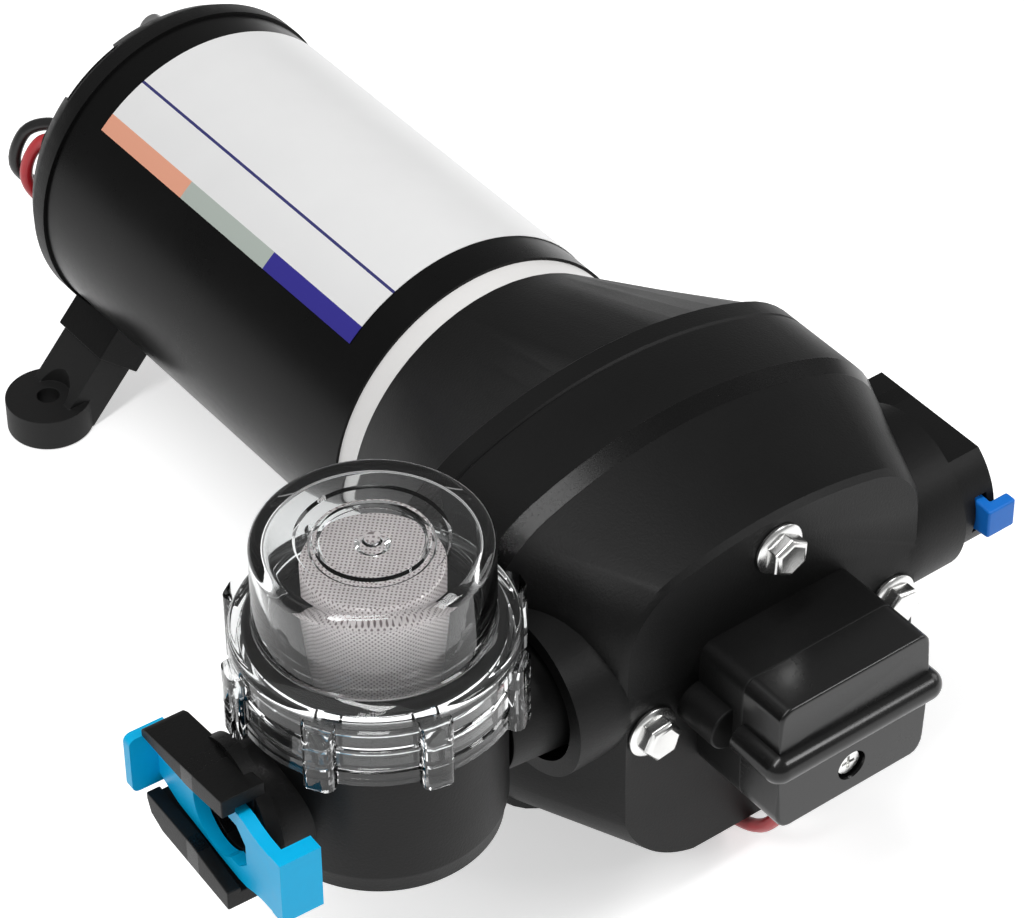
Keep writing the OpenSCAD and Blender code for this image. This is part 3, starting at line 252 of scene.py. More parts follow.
finishes = {
    "can_black": mouldedFinish("canEnamel", grey(0.0025), grey(0.0045), 0.3, 1.6, 0.006,
                               Specular_IOR_Level=0.14),
    "moulded_black": mouldedFinish("texturedBlack", grey(0.0025), grey(0.0055), 0.47, 0.55, 0.05,
                                   band=(-115.6, -111.4, 0.2, 0.9), Specular_IOR_Level=0.19),
    "gloss_black": mouldedFinish("smoothBlack", grey(0.005), grey(0.009), 0.24, 1.2, 0.004,
                                 Specular_IOR_Level=0.4),
    "rubber_black": mouldedFinish("feetRubber", grey(0.006), grey(0.012), 0.58, 0.8, 0.03,
                                  Specular_IOR_Level=0.3),
    "off_white": mouldedFinish("paleSpacer", (0.74, 0.73, 0.72, 1), (0.82, 0.81, 0.8, 1), 0.42, 0.9, 0.01),
    "bright_zinc": metalFinish("brightZinc", (0.62, 0.62, 0.61, 1), (0.82, 0.82, 0.81, 1), 0.24),
    "steel": metalFinish("plainSteel", grey(0.42), grey(0.58), 0.32),
    "lamination": laminatedFinish("coreSheets"),
    "ferrite": mouldedFinish("ferrite", grey(0.05), grey(0.08), 0.6, 0.5, 0.02),
    "copper": metalFinish("copperWire", (0.5, 0.2, 0.09, 1), (0.7, 0.34, 0.18, 1), 0.34),
    "carbon": mouldedFinish("brushCarbon", grey(0.025), grey(0.045), 0.45, 0.4, 0.01),
    "natural_plastic": mouldedFinish("naturalMoulding", (0.66, 0.63, 0.54, 1),
                                     (0.74, 0.71, 0.63, 1), 0.45, 0.9, 0.01),
    "phenolic": mouldedFinish("brownBoard", (0.13, 0.075, 0.035, 1), (0.19, 0.11, 0.055, 1), 0.5, 0.6, 0.01),
    "valve_rubber": mouldedFinish("valveRubber", (0.2, 0.035, 0.03, 1),
                                  (0.27, 0.055, 0.045, 1), 0.55, 0.7, 0.01),
    "clear": clearFinish("clearBowl"),
    "mesh": meshFinish("wovenScreen"),
    "blue": mouldedFinish("clipBlue", (0.0, 0.41, 0.76, 1), (0.0, 0.5, 0.88, 1), 0.36, 2.4, 0.002,
                          Specular_IOR_Level=0.22),
    "red_insulation": mouldedFinish("redInsulation", (0.46, 0.012, 0.02, 1),
                                    (0.6, 0.03, 0.04, 1), 0.34, 0.8, 0.008),
    "black_insulation": mouldedFinish("blackInsulation", grey(0.008), grey(0.015), 0.36, 0.8, 0.008),
}
# the clip blue darkened for the outlet clip: painted shade on its toe, which faces away from the lamps
shadedBlue = mouldedFinish("outletShadedBlue", (0.004, 0.12, 0.5, 1), (0.008, 0.18, 0.64, 1), 0.34, 2.4, 0.002,
                         Specular_IOR_Level=0.25)
print("finishes made:", len(finishes) + 1)


# wires

wireSet = {
    "diameter": 3.0,
    "red": [(-27, 67.5, 65), (-27.1, 75, 65), (-28.6, 80.1, 62.9), (-31, 82.5, 57.8), (-31.8, 83.1, 51.6),
            (-28.6, 82.7, 45), (-22, 82.3, 38.6), (-14.5, 81.7, 30.5), (-7.4, 80.7, 19.5), (-1, 77.5, 9.8),
            (4.5, 70.5, 3.6), (10, 57.5, 1.8), (15, 43.5, 1.6), (18, 24.5, 1.6), (19, 3.5, 1.6),
            (19, -16.5, 1.6), (18, -36.5, 1.6), (16, -57.9, 1.6), (12, -76, 1.6), (7, -94, 1.6),
            (2, -112, 1.8), (-2, -129, 2.6), (-2.8, -139, 5.2), (-3, -146, 9.8), (-3, -150.4, 17),
            (-3, -151.2, 26), (-3, -151, 38.9)],
    "black": [(-23.8, 67.5, 65), (-23.7, 75.5, 65), (-25, 81.9, 65), (-29.2, 86.5, 62), (-32, 87.5, 54),
              (-27, 87.1, 45.4), (-16.5, 86.5, 33.5), (-8.5, 85.5, 21.5), (-1, 82.1, 10.2), (6.5, 74.5, 3.4),
              (13, 59, 1.8), (19, 43.5, 1.6), (22, 24.5, 1.6), (23, 3.5, 1.6), (23, -16.5, 1.6),
              (22, -36.5, 1.6), (20, -57.9, 1.6), (16, -76, 1.6), (11, -94, 1.6), (8, -112, 1.6),
              (8, -121, 1.7), (8.8, -133, 3), (9.2, -140.5, 5.8), (9.4, -145.2, 10.2), (9.5, -147.2, 17.5),
              (9.5, -147.4, 26), (9.5, -147.2, 38.9)],
    "redLength": 0.3435,
    "blackLength": 0.3533,
}


def smoothRun(points):  # handles that give the same curve as the part's source
    last = len(points) - 1
    return [(points[min(i + 1, last)] - points[max(i - 1, 0)]) / 6 for i in range(last + 1)]


def makeWire(name, node, route):
    points = [Vector(p) * mm for p in route]
    data = bpy.data.curves.new(name, "CURVE")
    data.dimensions = "3D"
    data.bevel_depth = wireSet["diameter"] / 2 * mm
    data.bevel_resolution = 4
    data.resolution_u = 6
    data.use_fill_caps = True
    spline = data.splines.new("BEZIER")
    spline.bezier_points.add(len(points) - 1)
    for knot, p, reach in zip(spline.bezier_points, points, smoothRun(points)):
        knot.handle_left_type = knot.handle_right_type = "FREE"
        knot.co, knot.handle_left, knot.handle_right = p, p - reach, p + reach
    data.materials.append(finishes[slotOf[node]])
    wire = bpy.data.objects.new(name, data)
    scene.collection.objects.link(wire)
    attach(wire, bodyOf[node])
    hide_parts(node)


makeWire("redWire", "red_wire", wireSet["red"])
makeWire("blackWire", "black_wire", wireSet["black"])
print("wires laid")


# pieces

def finished(bm, name, node, material=None, stands=True, sharp=32.0, weighted=True, creases=()):
    mesh = bpy.data.meshes.new(name)
    bm.to_mesh(mesh)
    bm.free()
    if "custom_normal" in mesh.attributes:
        mesh.attributes.remove(mesh.attributes["custom_normal"])
    for face in mesh.polygons:
        face.use_smooth = True
    mesh.set_sharp_from_angle(angle=math.radians(sharp))
    for edge in mesh.edges:
        ys = [mesh.vertices[v].co.y / mm for v in edge.vertices]
        edge.use_edge_sharp |= any(max(abs(y - at) for y in ys) < 0.05 for at in creases)
    mesh.materials.clear()
    mesh.materials.append(material or finishes[slotOf[node]])
    piece = bpy.data.objects.new(name, mesh)
    scene.collection.objects.link(piece)
    if weighted:
        even = piece.modifiers.new("evenNormals", "WEIGHTED_NORMAL")
        even.keep_sharp = True
    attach(piece, bodyOf[node])
    if stands:
        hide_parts(node)


def merged(node, joined=1.0):
    bm = bmesh.new()
    bm.from_mesh(frame["nodes"][node].data)
    bmesh.ops.remove_doubles(bm, verts=bm.verts, dist=0.002 * mm)
    bmesh.ops.dissolve_limit(bm, angle_limit=math.radians(joined), verts=bm.verts, edges=bm.edges)
    return bm


def bevelled(bm, edges, width, segments, clamp=False):
    bmesh.ops.bevel(bm, geom=edges, offset=width * mm, offset_type="OFFSET", affect="EDGES",
                    segments=segments, profile=0.5, material=-1, clamp_overlap=clamp)


def rounded(bm, width, low=38.0, segments=2, pick=None, clamp=True):  # low is the least turn in degrees
    edges = [e for e in bm.edges if len(e.link_faces) == 2
             and math.radians(low) < e.calc_face_angle(0) < math.pi and (pick is None or pick(e))]
    bevelled(bm, edges, width, segments, clamp)


def dressed(name, node, width):
    bm = merged(node)
    rounded(bm, width)
    finished(bm, name, node)


def vertsOf(geometry):
    return [g for g in geometry if isinstance(g, bmesh.types.BMVert)]


def runsAlong(edge, axis):  # the edge is straight along x, y or z
    return abs(getattr((edge.verts[0].co - edge.verts[1].co).normalized(), axis)) > 0.95


def lathe(bm, profile, steps=96):  # radius and height pairs, spun round z
    verts = [bm.verts.new((r * mm, 0, z * mm)) for r, z in profile]
    edges = [bm.edges.new(pair) for pair in zip(verts, verts[1:])]
    if profile[0][0] and profile[-1][0]:
        edges.append(bm.edges.new((verts[-1], verts[0])))
    bmesh.ops.spin(bm, geom=verts + edges, cent=(0, 0, 0), axis=(0, 0, 1), dvec=(0, 0, 0), angle=math.tau,
                   steps=steps, use_merge=True, use_duplicate=False)
    bmesh.ops.remove_doubles(bm, verts=bm.verts, dist=0.001 * mm)
    bmesh.ops.recalc_face_normals(bm, faces=bm.faces)
    return bm


def corner(r, z, size, start, end, steps=6):  # points of a round corner, degrees from the radius direction
    turns = [math.radians(start + (end - start) * i / steps) for i in range(steps + 1)]
    return [(r + size * math.cos(a), z + size * math.sin(a)) for a in turns]


def asObject(bm, name):
    mesh = bpy.data.meshes.new(name)
    bm.to_mesh(mesh)
    bm.free()
    thing = bpy.data.objects.new(name, mesh)
    scene.collection.objects.link(thing)
    return thing


def combined(first, second, operation):  # two closed shapes made one
    a, b = asObject(first, "firstShape"), asObject(second, "secondShape")
    change = a.modifiers.new("join", "BOOLEAN")
    change.operation, change.object, change.solver = operation, b, "EXACT"
    result = bmesh.new()
    result.from_mesh(a.evaluated_get(bpy.context.evaluated_depsgraph_get()).to_mesh())
    for spent in (a, b):
        bpy.data.objects.remove(spent)
    return result


def slab(outline, low, high):  # an outline seen along x, given a thickness
    bm = bmesh.new()
    face = bm.faces.new([bm.verts.new((low * mm, y * mm, z * mm)) for y, z in outline])
    grown = bmesh.ops.extrude_face_region(bm, geom=[face], use_keep_orig=True)["geom"]
    bmesh.ops.translate(bm, vec=((high - low) * mm, 0, 0), verts=vertsOf(grown))
    bmesh.ops.recalc_face_normals(bm, faces=bm.faces)
    return bm


def box(low, high):
    bm = bmesh.new()
    low, high = Vector(low), Vector(high)
    bmesh.ops.create_cube(bm, size=1.0)
    bmesh.ops.scale(bm, vec=(high - low) * mm, verts=bm.verts)
    bmesh.ops.translate(bm, vec=(low + high) / 2 * mm, verts=bm.verts)
    return bm


def rod(radius, low, high):  # a round bar along x
    bm = bmesh.new()
    bmesh.ops.create_cone(bm, cap_ends=True, segments=72, radius1=radius * mm, radius2=radius * mm,
                          depth=(high - low) * mm)
    bmesh.ops.rotate(bm, cent=(0, 0, 0), matrix=Matrix.Rotation(math.radians(90), 3, "Y"), verts=bm.verts)
    bmesh.ops.translate(bm, vec=((low + high) / 2 * mm, 0, 0), verts=bm.verts)
    return bm


def mirrored(points):  # a half outline and its mirror image below
    return points + [(y, -z) for y, z in reversed(points)]


dressed("endCap", "end_cap", 0.35)
dressed("rearBracket", "rear_bracket", 0.5)
dressed("rearFeet", "rear_feet", 0.6)
dressed("frontFeet", "front_feet", 0.6)
print("dressed the mouldings")

# housing and head meet in a groove, and the head's lower corners are rounder than the part's
headSet = {"joint": -94.0, "groove": 0.7, "rim": -87.5, "rimEdge": 0.5, "step": (-115.5, 24.0, 38.0, 28.0),
           "face": (-143.0, 12.3, 36.0, 26.0), "creases": (-111.5, -115.5), "coreOver": (2.0, 3.0),
           "wedge": 60, "wedgeOver": 1.0}


def atStation(y):  # edges of an outline that lies at one station of the motor's axis
    return lambda e: all(abs(v.co.y - y * mm) < 0.05 * mm for v in e.verts)


def cornerCutter(s, side):  # what lies outside a leaning round corner
    (start, *first), (end, *last) = s["step"], s["face"]

    def at(y):  # centre and radius of the corner at one station
        share = (y - start) / (end - start)
        return [a + (b - a) * share for a, b in zip(first, last)]

    core, wedge = bmesh.new(), box((-s["wedge"], -1, -s["wedge"]), (0, 1, 0))
    coreEnds, wedgeEnds = (start + s["coreOver"][0], end - s["coreOver"][1]), (start, end - s["wedgeOver"])
    bmesh.ops.create_cone(core, cap_ends=True, segments=96, radius1=at(coreEnds[0])[2] * mm,
                          radius2=at(coreEnds[1])[2] * mm, depth=2 * mm)
    bmesh.ops.rotate(core, cent=(0, 0, 0), matrix=Matrix.Rotation(math.radians(90), 3, "X"), verts=core.verts)
    for bm, ends in ((core, coreEnds), (wedge, wedgeEnds)):
        for v in bm.verts:
            y = ends[1 if v.co.y < 0 else 0]
            x, z, _ = at(y)
            v.co = Vector((side * (v.co.x - x * mm), y * mm, v.co.z + z * mm))
        bm.normal_update()
        bmesh.ops.recalc_face_normals(bm, faces=bm.faces)
    return combined(wedge, core, "DIFFERENCE")


def makeHead(s):
    housing = merged("drive_housing", 0.05)
    rounded(housing, s["groove"], 60, pick=atStation(s["joint"]))
    rounded(housing, s["rimEdge"], 40, pick=atStation(s["rim"]))
    finished(housing, "driveHousing", "drive_housing", sharp=30.0, weighted=False)
    head = merged("pump_head", 0.05)
    rounded(head, s["groove"], 60, pick=atStation(s["joint"]))
    for side in (1, -1):
        head = combined(head, cornerCutter(s, side), "DIFFERENCE")
    finished(head, "pumpHead", "pump_head", sharp=30.0, weighted=False, creases=s["creases"])


makeHead(headSet)

strainerFrame = Matrix.Translation(Vector([strainerSet[k] for k in "xyz"]) * mm) @ Matrix.Rotation(
    math.radians(strainerSet["yaw"]), 4, "Z")

# inlet yoke: two jaws with lips, open at both ends, and a blade sliding between them
yokeSet = {
    "root": 30.3, "turn": 3.3, "length": 9.6, "slot": (2.8, 6.5), "bore": 7.5, "edge": 0.45, "lipLap": 0.4,
    "outline": [(-20.5, -9.3), (-19.2, -12.4), (-15.0, -14.2), (9.5, -14.8), (9.5, 14.6), (-18.6, 10.4),
                (-20.5, 9.4)],
    "gap": [(-24, 8.4), (-13, 9.4), (0, 11), (12, 11.2)],
    "lips": [(-24, 7.6), (-3.7, 7.9), (12, 10.6)],
    "blade": [(-21, 4.7), (-14, 7.2), (0, 8.6), (8, 9.2), (11, 9.0), (13.5, 8.2), (16.5, 7.6), (20.5, 7.4)],
    "bladeFace": (3.3, 6.1), "hole": 7.8, "throat": [(0, 5.6), (8.5, 5.6), (11.5, 2.6)], "clipEdge": 0.35,
    "toe": ((3.3, -23.2, -7), (12.2, -20.9, 7)), "toeRound": 1.6, "toeTip": 6,
    "block": ((-3.0, 20.3, -7.7), (6.1, 24.0, 7.7)),
    "socketNeck": (13.6, 22.0, 37.2), "neckEdge": 0.6,
    "cup": 26.0, "cupBottom": 1.2, "deeper": 2.6, "bodyEdge": 0.3, "cut": ((-60, -40, -30), (-32, 40, 30)),
}
yokeFrame = (strainerFrame @ Matrix.Rotation(math.pi, 4, "Z")
             @ Matrix.Translation((yokeSet["root"] * mm, 0, 0))
             @ Matrix.Rotation(math.radians(yokeSet["turn"]), 4, "Z"))


def makeStrainerBody(s):
    yoke = slab(s["outline"], 0, s["length"])
    yoke = combined(yoke, slab(mirrored(s["gap"]), *s["slot"]), "DIFFERENCE")
    mouth = slab(mirrored(s["lips"]), s["slot"][1] - s["lipLap"], s["length"] + 1)
    yoke = combined(yoke, mouth, "DIFFERENCE")
    yoke = combined(yoke, rod(s["bore"], -1, s["slot"][1]), "DIFFERENCE")
    rounded(yoke, s["edge"])
    bmesh.ops.transform(yoke, matrix=yokeFrame, verts=yoke.verts)
    body = merged("strainer_body")
    axis = Vector((strainerSet["x"], strainerSet["y"])) * mm
    cup = [v for v in body.verts if (v.co.xy - axis).length < s["cup"] * mm]
    low = min(v.co.z for v in cup)
    bottom = [v for v in cup if v.co.z < low + s["cupBottom"] * mm]
    bmesh.ops.translate(body, vec=(0, 0, -s["deeper"] * mm), verts=bottom)
    rounded(body, s["bodyEdge"])
    cut = box(*s["cut"])
    bmesh.ops.transform(cut, matrix=strainerFrame, verts=cut.verts)
    body = combined(combined(body, cut, "DIFFERENCE"), yoke, "UNION")
    neck = rod(*s["socketNeck"])
    rounded(neck, s["neckEdge"])
    neck = combined(neck, rod(s["bore"], s["socketNeck"][1] - 2, s["socketNeck"][2] + 2), "DIFFERENCE")
    bmesh.ops.transform(neck, matrix=strainerFrame, verts=neck.verts)
    finished(combined(body, neck, "UNION"), "strainerBody", "strainer_body")


def makeStrainerClip(s):
    clip = slab(mirrored(s["blade"]), *s["bladeFace"])
    low, high = s["bladeFace"][0] - 1, s["bladeFace"][1] + 1
    clip = combined(clip, rod(s["hole"], low, high), "DIFFERENCE")
    clip = combined(clip, slab(mirrored(s["throat"]), low, high), "DIFFERENCE")
    toe = box(*s["toe"])
    tips = [e for e in toe.edges if runsAlong(e, "y") and e.verts[0].co.x > s["toeTip"] * mm]
    bevelled(toe, tips, s["toeRound"], 4)
    clip = combined(combined(clip, toe, "UNION"), box(*s["block"]), "UNION")
    rounded(clip, s["clipEdge"])
    bmesh.ops.transform(clip, matrix=yokeFrame, verts=clip.verts)
    finished(clip, "strainerClip", "strainer_clip")


makeStrainerBody(yokeSet)
makeStrainerClip(yokeSet)

# outlet clip ends between the jaws behind and in a short toe in front
outletSet = {"rearCut": ((40, -107.5, 40), (80, -80, 80)), "toeCut": ((62.4, -160, 40), (80, -130, 80)),
             "toeRear": -141.9, "toeLow": 0.78, "axis": 60.0, "round": 0.7}


def makeOutletClip(s):
    clip = merged("outlet_clip")
    clip = combined(clip, box(*s["rearCut"]), "DIFFERENCE")
    clip = combined(clip, box(*s["toeCut"]), "DIFFERENCE")
    toe = [v for v in clip.verts if v.co.y < s["toeRear"] * mm]
    aboutAxis = Matrix.Translation((0, 0, -s["axis"] * mm))
    bmesh.ops.scale(clip, vec=(1, 1, s["toeLow"]), verts=toe, space=aboutAxis)
    rounded(clip, s["round"], segments=3)
    finished(clip, "outletClip", "outlet_clip", material=shadedBlue)


makeOutletClip(outletSet)

# switch housing drawn out to the photographed size, its screw nearer the mouth
switchSet = {"joint": -156.5, "front": 3.8, "frontFrom": 0.6, "frontRun": 2, "wide": 1.067,
             "drop": 1.9, "dropRun": 3.5, "low": 37.5, "recess": (0, 42.75, 5.0),
             "frontFace": 20, "screwHead": 3.55, "screwOut": 5.0}


def besideRecess(x, z, s):
    left, low, reach = s["recess"]
    return math.hypot(x - left, z - low) > reach


def drawnOut(bm, s):
    for v in bm.verts:
        x, y, z = v.co / mm
        beside = besideRecess(x, z, s)
        front = s["front"] * min(max((s["joint"] - s["frontFrom"] - y) / s["frontRun"], 0), 1)
        fall = s["drop"] * min(max((s["low"] + s["dropRun"] - z) / s["dropRun"], 0), 1)
        v.co = Vector((x * (s["wide"] if beside else 1), y - front, z - (fall if beside else 0))) * mm


def frontEdge(e, s):  # an outer edge of a flat front, away from the screw's recess
    middle = (e.verts[0].co + e.verts[1].co) / 2 / mm
    flat = any(f.normal.y < -0.98 and f.calc_area() > s["frontFace"] * mm ** 2 for f in e.link_faces)
    return e.is_convex and flat and besideRecess(middle.x, middle.z, s)


def makeSwitch(s):
    for name, node, width in (("switchBase", "switch_base", 0.5), ("switchCover", "switch_cover", 0.8)):
        bm = merged(node)
        drawnOut(bm, s)
        rounded(bm, width, segments=3, clamp=False, pick=lambda e: frontEdge(e, s))
        finished(bm, name, node)
    bm = merged("adjusting_screw")
    head = [v for v in bm.verts if v.co.y < (s["joint"] - s["screwHead"]) * mm]
    bmesh.ops.translate(bm, vec=(0, -s["screwOut"] * mm, 0), verts=head)
    finished(bm, "adjustingScrew", "adjusting_screw")


makeSwitch(switchSet)
print("yokes, clips and switch made")


# clear bowl: stepped top with a pip, thread inside the skirt, grip lugs outside
bowlSet = {
    "skirt": 28.0, "skirtInner": 24.4, "skirtBottom": 17.4, "grooves": (21.8, 27.6),
    "threads": (20.2, 24.8, 29.4),
    "shoulder": 33.0, "shoulderRound": 1.4, "bowl": 23.2, "bowlInner": 20.8, "seat": 34.3, "top": 55.0,
    "edge": 2.0, "roof": 2.4, "roofRound": 1.4,
    "lugs": 8, "lugTurn": 16.0, "lugReach": 30.6, "lugWidth": 6.4, "lugTop": 32.6, "lugRound": 1.8,
    "lugRoot": 1.6, "lugWall": 0.9, "lugHollow": 5.0,
}


def makeBowl(b):
    low, inner, outer = b["skirtBottom"], b["skirtInner"], b["skirt"]
    outside = [(inner, low + 0.4), (inner + 0.4, low), (outer - 0.5, low), (outer, low + 0.5)]
    for z in b["grooves"]:
        outside += [(outer, z - 0.7), (outer - 0.5, z - 0.3), (outer - 0.5, z + 0.3), (outer, z + 0.7)]
    outside += corner(outer - b["shoulderRound"], b["shoulder"], b["shoulderRound"], 0, 80, 5)
    wall, bore, seat, top, edge = (b[k] for k in ("bowl", "bowlInner", "seat", "top", "edge"))
    outside += [(wall + 1.2, seat + 0.6), (wall + 0.3, seat + 1.2), (wall, seat + 2.2)]
    outside += corner(wall - edge, top - edge, edge, 0, 90, 9)
    outside += [(14.8, top), (14.3, top - 0.6), (11.6, top - 0.6), (11.1, top), (10.3, top), (9.8, top - 0.7),
                (2.0, top - 0.7), (1.5, top), (0, top + 0.1)]
    roof, bend = top - b["roof"], b["roofRound"]
    inside = [(0, roof - 1.1), (2.4, roof - 1.1), (3.4, roof), (10.0, roof), (10.5, roof - 0.6),
              (11.6, roof - 0.6), (12.1, roof)]
    inside += reversed(corner(bore - bend, roof - bend, bend, 0, 90, 6))
    inside += [(bore, seat + 0.6), (bore + 0.4, seat), (inner, seat)]
    for z in reversed(b["threads"]):
        inside += [(inner, z + 1.0), (inner + 0.9, z + 0.4), (inner + 0.9, z - 0.4), (inner, z - 1.0)]
    shell = lathe(bmesh.new(), outside + inside, 128)
    lugs = bmesh.new()
    size = Vector((b["lugReach"] - outer + b["lugRoot"], b["lugWidth"], b["lugTop"] - low))
    for i in range(b["lugs"]):
        made = bmesh.ops.create_cube(lugs, size=1.0)["verts"]
        bmesh.ops.scale(lugs, vec=size * mm, verts=made)
        at = Vector((b["lugReach"] - size.x / 2, 0, (b["lugTop"] + low) / 2))
        bmesh.ops.translate(lugs, vec=at * mm, verts=made)
        turn = Matrix.Rotation(math.tau * (i + 0.5) / b["lugs"] + math.radians(b["lugTurn"]), 3, "Z")
        bmesh.ops.rotate(lugs, cent=(0, 0, 0), matrix=turn, verts=made)
    posts = [e for e in lugs.edges if runsAlong(e, "z") and max(v.co.xy.length for v in e.verts) > outer * mm]
    bevelled(lugs, posts, b["lugRound"], 4)
    tops = [f for f in lugs.faces if f.normal.z > 0.9]
    bmesh.ops.inset_individual(lugs, faces=tops, thickness=b["lugWall"] * mm, use_even_offset=True)
    floors = list({v for f in tops for v in f.verts})
    bmesh.ops.translate(lugs, vec=(0, 0, -b["lugHollow"] * mm), verts=floors)
    whole = combined(shell, lugs, "UNION")
    bmesh.ops.transform(whole, matrix=strainerFrame, verts=whole.verts)
    finished(whole, "clearBowl", "strainer_bowl", sharp=28.0, weighted=False)


makeBowl(bowlSet)

# seal squeezed between the body and the bowl
sealSet = {"ring": 23.1, "height": 33.0, "section": 1.9}


def makeSeal(s):
    bm = lathe(bmesh.new(), corner(s["ring"], s["height"], s["section"], 0, 340, 17), 128)
    bmesh.ops.transform(bm, matrix=strainerFrame, verts=bm.verts)
    finished(bm, "bowlSeal", "bowl_seal", weighted=False)


makeSeal(sealSet)

# woven screen, a thin cup with its mouth down
screenSet = {"radius": 13.9, "wall": 0.6, "edge": 0.8}


def makeScreen(s):
    heights = [v.co.z / mm - strainerSet["z"] for v in frame["nodes"]["strainer_screen"].data.vertices]
    low, top = min(heights), max(heights)
    inner = s["radius"] - s["wall"]
    profile = [(0, top), *reversed(corner(s["radius"] - s["edge"], top - s["edge"], s["edge"], 0, 90)),
               (s["radius"], low), (inner, low), (inner, top - s["wall"]), (0, top - s["wall"])]
    bm = lathe(bmesh.new(), profile, 128)
    bmesh.ops.transform(bm, matrix=strainerFrame, verts=bm.verts)
    finished(bm, "strainerScreen", "strainer_screen", weighted=False)


makeScreen(screenSet)
print("bowl, seal and screen made")

# four hex screws with pressed flanges and dished heads
screwSet = {"ring": 31.2, "axis": 52.0, "face": -143.0, "flange": 5.75, "flat": 8.0, "root": 1.0,
            "height": 4.7, "dome": 1.25, "dishWall": 0.8, "dish": 0.35, "dishShare": 0.8, "edge": 0.25,
            "firstTurn": 17, "nextTurn": 40}


def makeScrews(s):
    bm = bmesh.new()
    rim = s["flange"]
    lathe(bm, [(0, 0), (rim - 0.2, 0), (rim, 0.2), (rim, 0.7), (rim - 0.3, 1.0), (rim - 1.3, 1.5),
               (0, 1.7)], 48)
    across = s["flat"] / math.sqrt(3)
    hexagon = bmesh.ops.create_circle(bm, cap_ends=True, segments=6, radius=across * mm)["verts"]
    bottom = hexagon[0].link_faces[0]
    bmesh.ops.translate(bm, vec=(0, 0, s["root"] * mm), verts=hexagon)
    grown = bmesh.ops.extrude_face_region(bm, geom=[bottom], use_keep_orig=True)["geom"]
    bmesh.ops.translate(bm, vec=(0, 0, (s["height"] - s["root"]) * mm), verts=vertsOf(grown))
    top = next(g for g in grown if isinstance(g, bmesh.types.BMFace))
    bevelled(bm, list(top.edges), s["dome"], 5)
    top = max((f for f in bm.faces if len(f.verts) == 6), key=lambda f: f.calc_center_median().z)
    bmesh.ops.inset_individual(bm, faces=[top], thickness=s["dishWall"] * mm, use_even_offset=True)
    dished = list(top.verts)
    bmesh.ops.translate(bm, vec=(0, 0, -s["dish"] * mm), verts=dished)
    bmesh.ops.scale(bm, vec=(s["dishShare"], s["dishShare"], 1.0), verts=dished)
    bevelled(bm, [e for e in bm.edges if runsAlong(e, "z") and e.calc_length() > 2 * mm], s["edge"], 2)
    bmesh.ops.recalc_face_normals(bm, faces=bm.faces)
    single = list(bm.verts) + list(bm.edges) + list(bm.faces)
    for i in range(4):
        turn = math.radians(90 * i)
        copy = bmesh.ops.duplicate(bm, geom=single)["geom"]
        at = Vector((s["ring"] * math.cos(turn), s["face"], s["axis"] + s["ring"] * math.sin(turn))) * mm
        spot = Matrix.Translation(at) @ Matrix.Rotation(math.radians(90), 4, "X") @ Matrix.Rotation(
            math.radians(s["firstTurn"] + s["nextTurn"] * i), 4, "Z")
        bmesh.ops.transform(bm, matrix=spot, verts=vertsOf(copy))
    bmesh.ops.delete(bm, geom=vertsOf(single), context="VERTS")
    finished(bm, "headScrews", "head_screws", sharp=30.0)


makeScrews(screwSet)

# bare label round the upper side of the can
labelSet = {"radius": 38.6, "axis": 52.0, "thick": 0.12, "rear": 56.0, "front": -37.5, "left": 44.5,
            "right": -62.0, "line": 23.5, "lineHalf": 0.5, "strip": 38.0, "splits": (25.0, -6.0)}


def labelFinish(s):
    f = Finish("labelPaper", Roughness=0.32)
    x, y, z = f.axes()
    turn = (0 - x).sum("ARCTAN2", z - s["axis"] * mm) * (180 / math.pi)
    paper = f.mix(f.noise(12.0), grey(0.77), grey(0.81))
    strip = f.mix(y > s["splits"][0] * mm, (0.42, 0.47, 0.43, 1), (0.78, 0.36, 0.24, 1))
    strip = f.mix(y < s["splits"][1] * mm, strip, (0.028, 0.022, 0.26, 1))
    line = (turn - s["line"]).sum("ABSOLUTE") < s["lineHalf"]
    field = f.mix(turn > s["strip"], paper, strip)
    f.set(Base_Color=f.mix(line, field, (0.03, 0.03, 0.16, 1)))
    f.set(Normal=f.bump(f.noise(1.5), 0.004))
    return f.material


def makeLabel(s):
    bm = bmesh.new()
    start = math.radians(s["left"])
    at = [Vector((-math.sin(start) * s["radius"], y, s["axis"] + math.cos(start) * s["radius"])) * mm
          for y in (s["rear"], s["front"])]
    edge = bm.edges.new([bm.verts.new(p) for p in at])
    bmesh.ops.spin(bm, geom=[edge, *edge.verts], cent=(0, 0, s["axis"] * mm), axis=(0, 1, 0), dvec=(0, 0, 0),
                   angle=math.radians(s["left"] - s["right"]), steps=64, use_merge=False, use_duplicate=False)
    if sum(f.normal.z for f in bm.faces) < 0:
        bmesh.ops.reverse_faces(bm, faces=bm.faces)
    bmesh.ops.solidify(bm, geom=bm.faces, thickness=-s["thick"] * mm)
    bmesh.ops.recalc_face_normals(bm, faces=bm.faces)
    finished(bm, "canLabel", "motor_can", material=labelFinish(s), stands=False, weighted=False)


makeLabel(labelSet)
print("screws and label made")

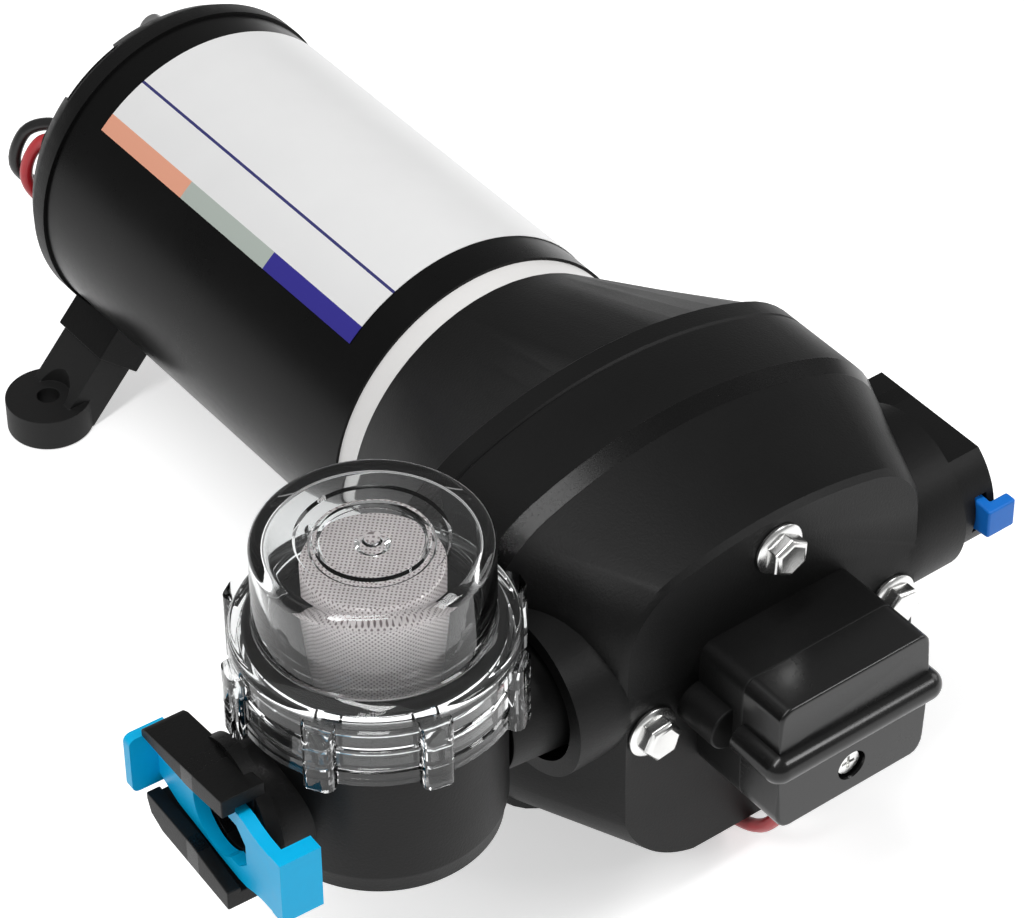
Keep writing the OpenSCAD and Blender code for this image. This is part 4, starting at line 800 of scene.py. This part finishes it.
for node, thing in frame["nodes"].items():
    thing.data.materials.clear()
    thing.data.materials.append(finishes[slotOf[node]])


# stage

stageSet = {
    "floor": 3.0, "sink": 0.0002, "target": (0, -0.11, 0.09),
    "lamps": [("key", (-0.42, -0.2, 0.98), (0.14, 0.95), 6.0), ("top", (-0.2, 0.1, 1.2), (0.8, 0.8), 1.4),
              ("right", (1.0, -0.4, 0.55), (0.6, 0.6), 3.0),
              ("front", (0.42, -0.74, 0.64), (0.26, 0.26), 2.2)],
    "world": 0.3, "lift": 0.54,
}


def makeStage(s):
    bm = bmesh.new()
    bmesh.ops.create_grid(bm, x_segments=1, y_segments=1, size=s["floor"])
    mesh = bpy.data.meshes.new("floor")
    bm.to_mesh(mesh)
    bm.free()
    floor = bpy.data.objects.new("floor", mesh)
    floor.location.z = -s["sink"]
    scene.collection.objects.link(floor)
    paper = Finish("paleFloor", Roughness=0.8, Specular_IOR_Level=0.15)
    paper.set(Base_Color=paper.mix(paper.noise(220.0), grey(0.9), grey(0.92)), Emission_Strength=1.0)
    seen = [paper.node("ShaderNodeLightPath", {}, {}, kind) for kind in (
        "Is Camera Ray", "Is Glossy Ray", "Is Transmission Ray")]
    lit = (seen[0] + seen[1] + seen[2]).sum("MINIMUM", 1.0)
    paper.set(Emission_Color=paper.mix(lit, grey(0.0), grey(s["lift"])))
    mesh.materials.append(paper.material)
    for name, at, size, power in s["lamps"]:
        data = bpy.data.lights.new(name, "AREA")
        data.shape, data.energy = "RECTANGLE", power
        data.size, data.size_y = size
        lamp = bpy.data.objects.new(name, data)
        aim = Vector(s["target"]) - Vector(at)
        lamp.matrix_world = Matrix.Translation(at) @ aim.to_track_quat("-Z", "Y").to_matrix().to_4x4()
        scene.collection.objects.link(lamp)
    world = bpy.data.worlds.new("studio")
    world.use_nodes = True
    scene.world = world
    sky = world.node_tree.nodes["Background"]
    sky.inputs["Color"].default_value = grey(1.0)
    sky.inputs["Strength"].default_value = s["world"]


makeStage(stageSet)
print("stage lit")
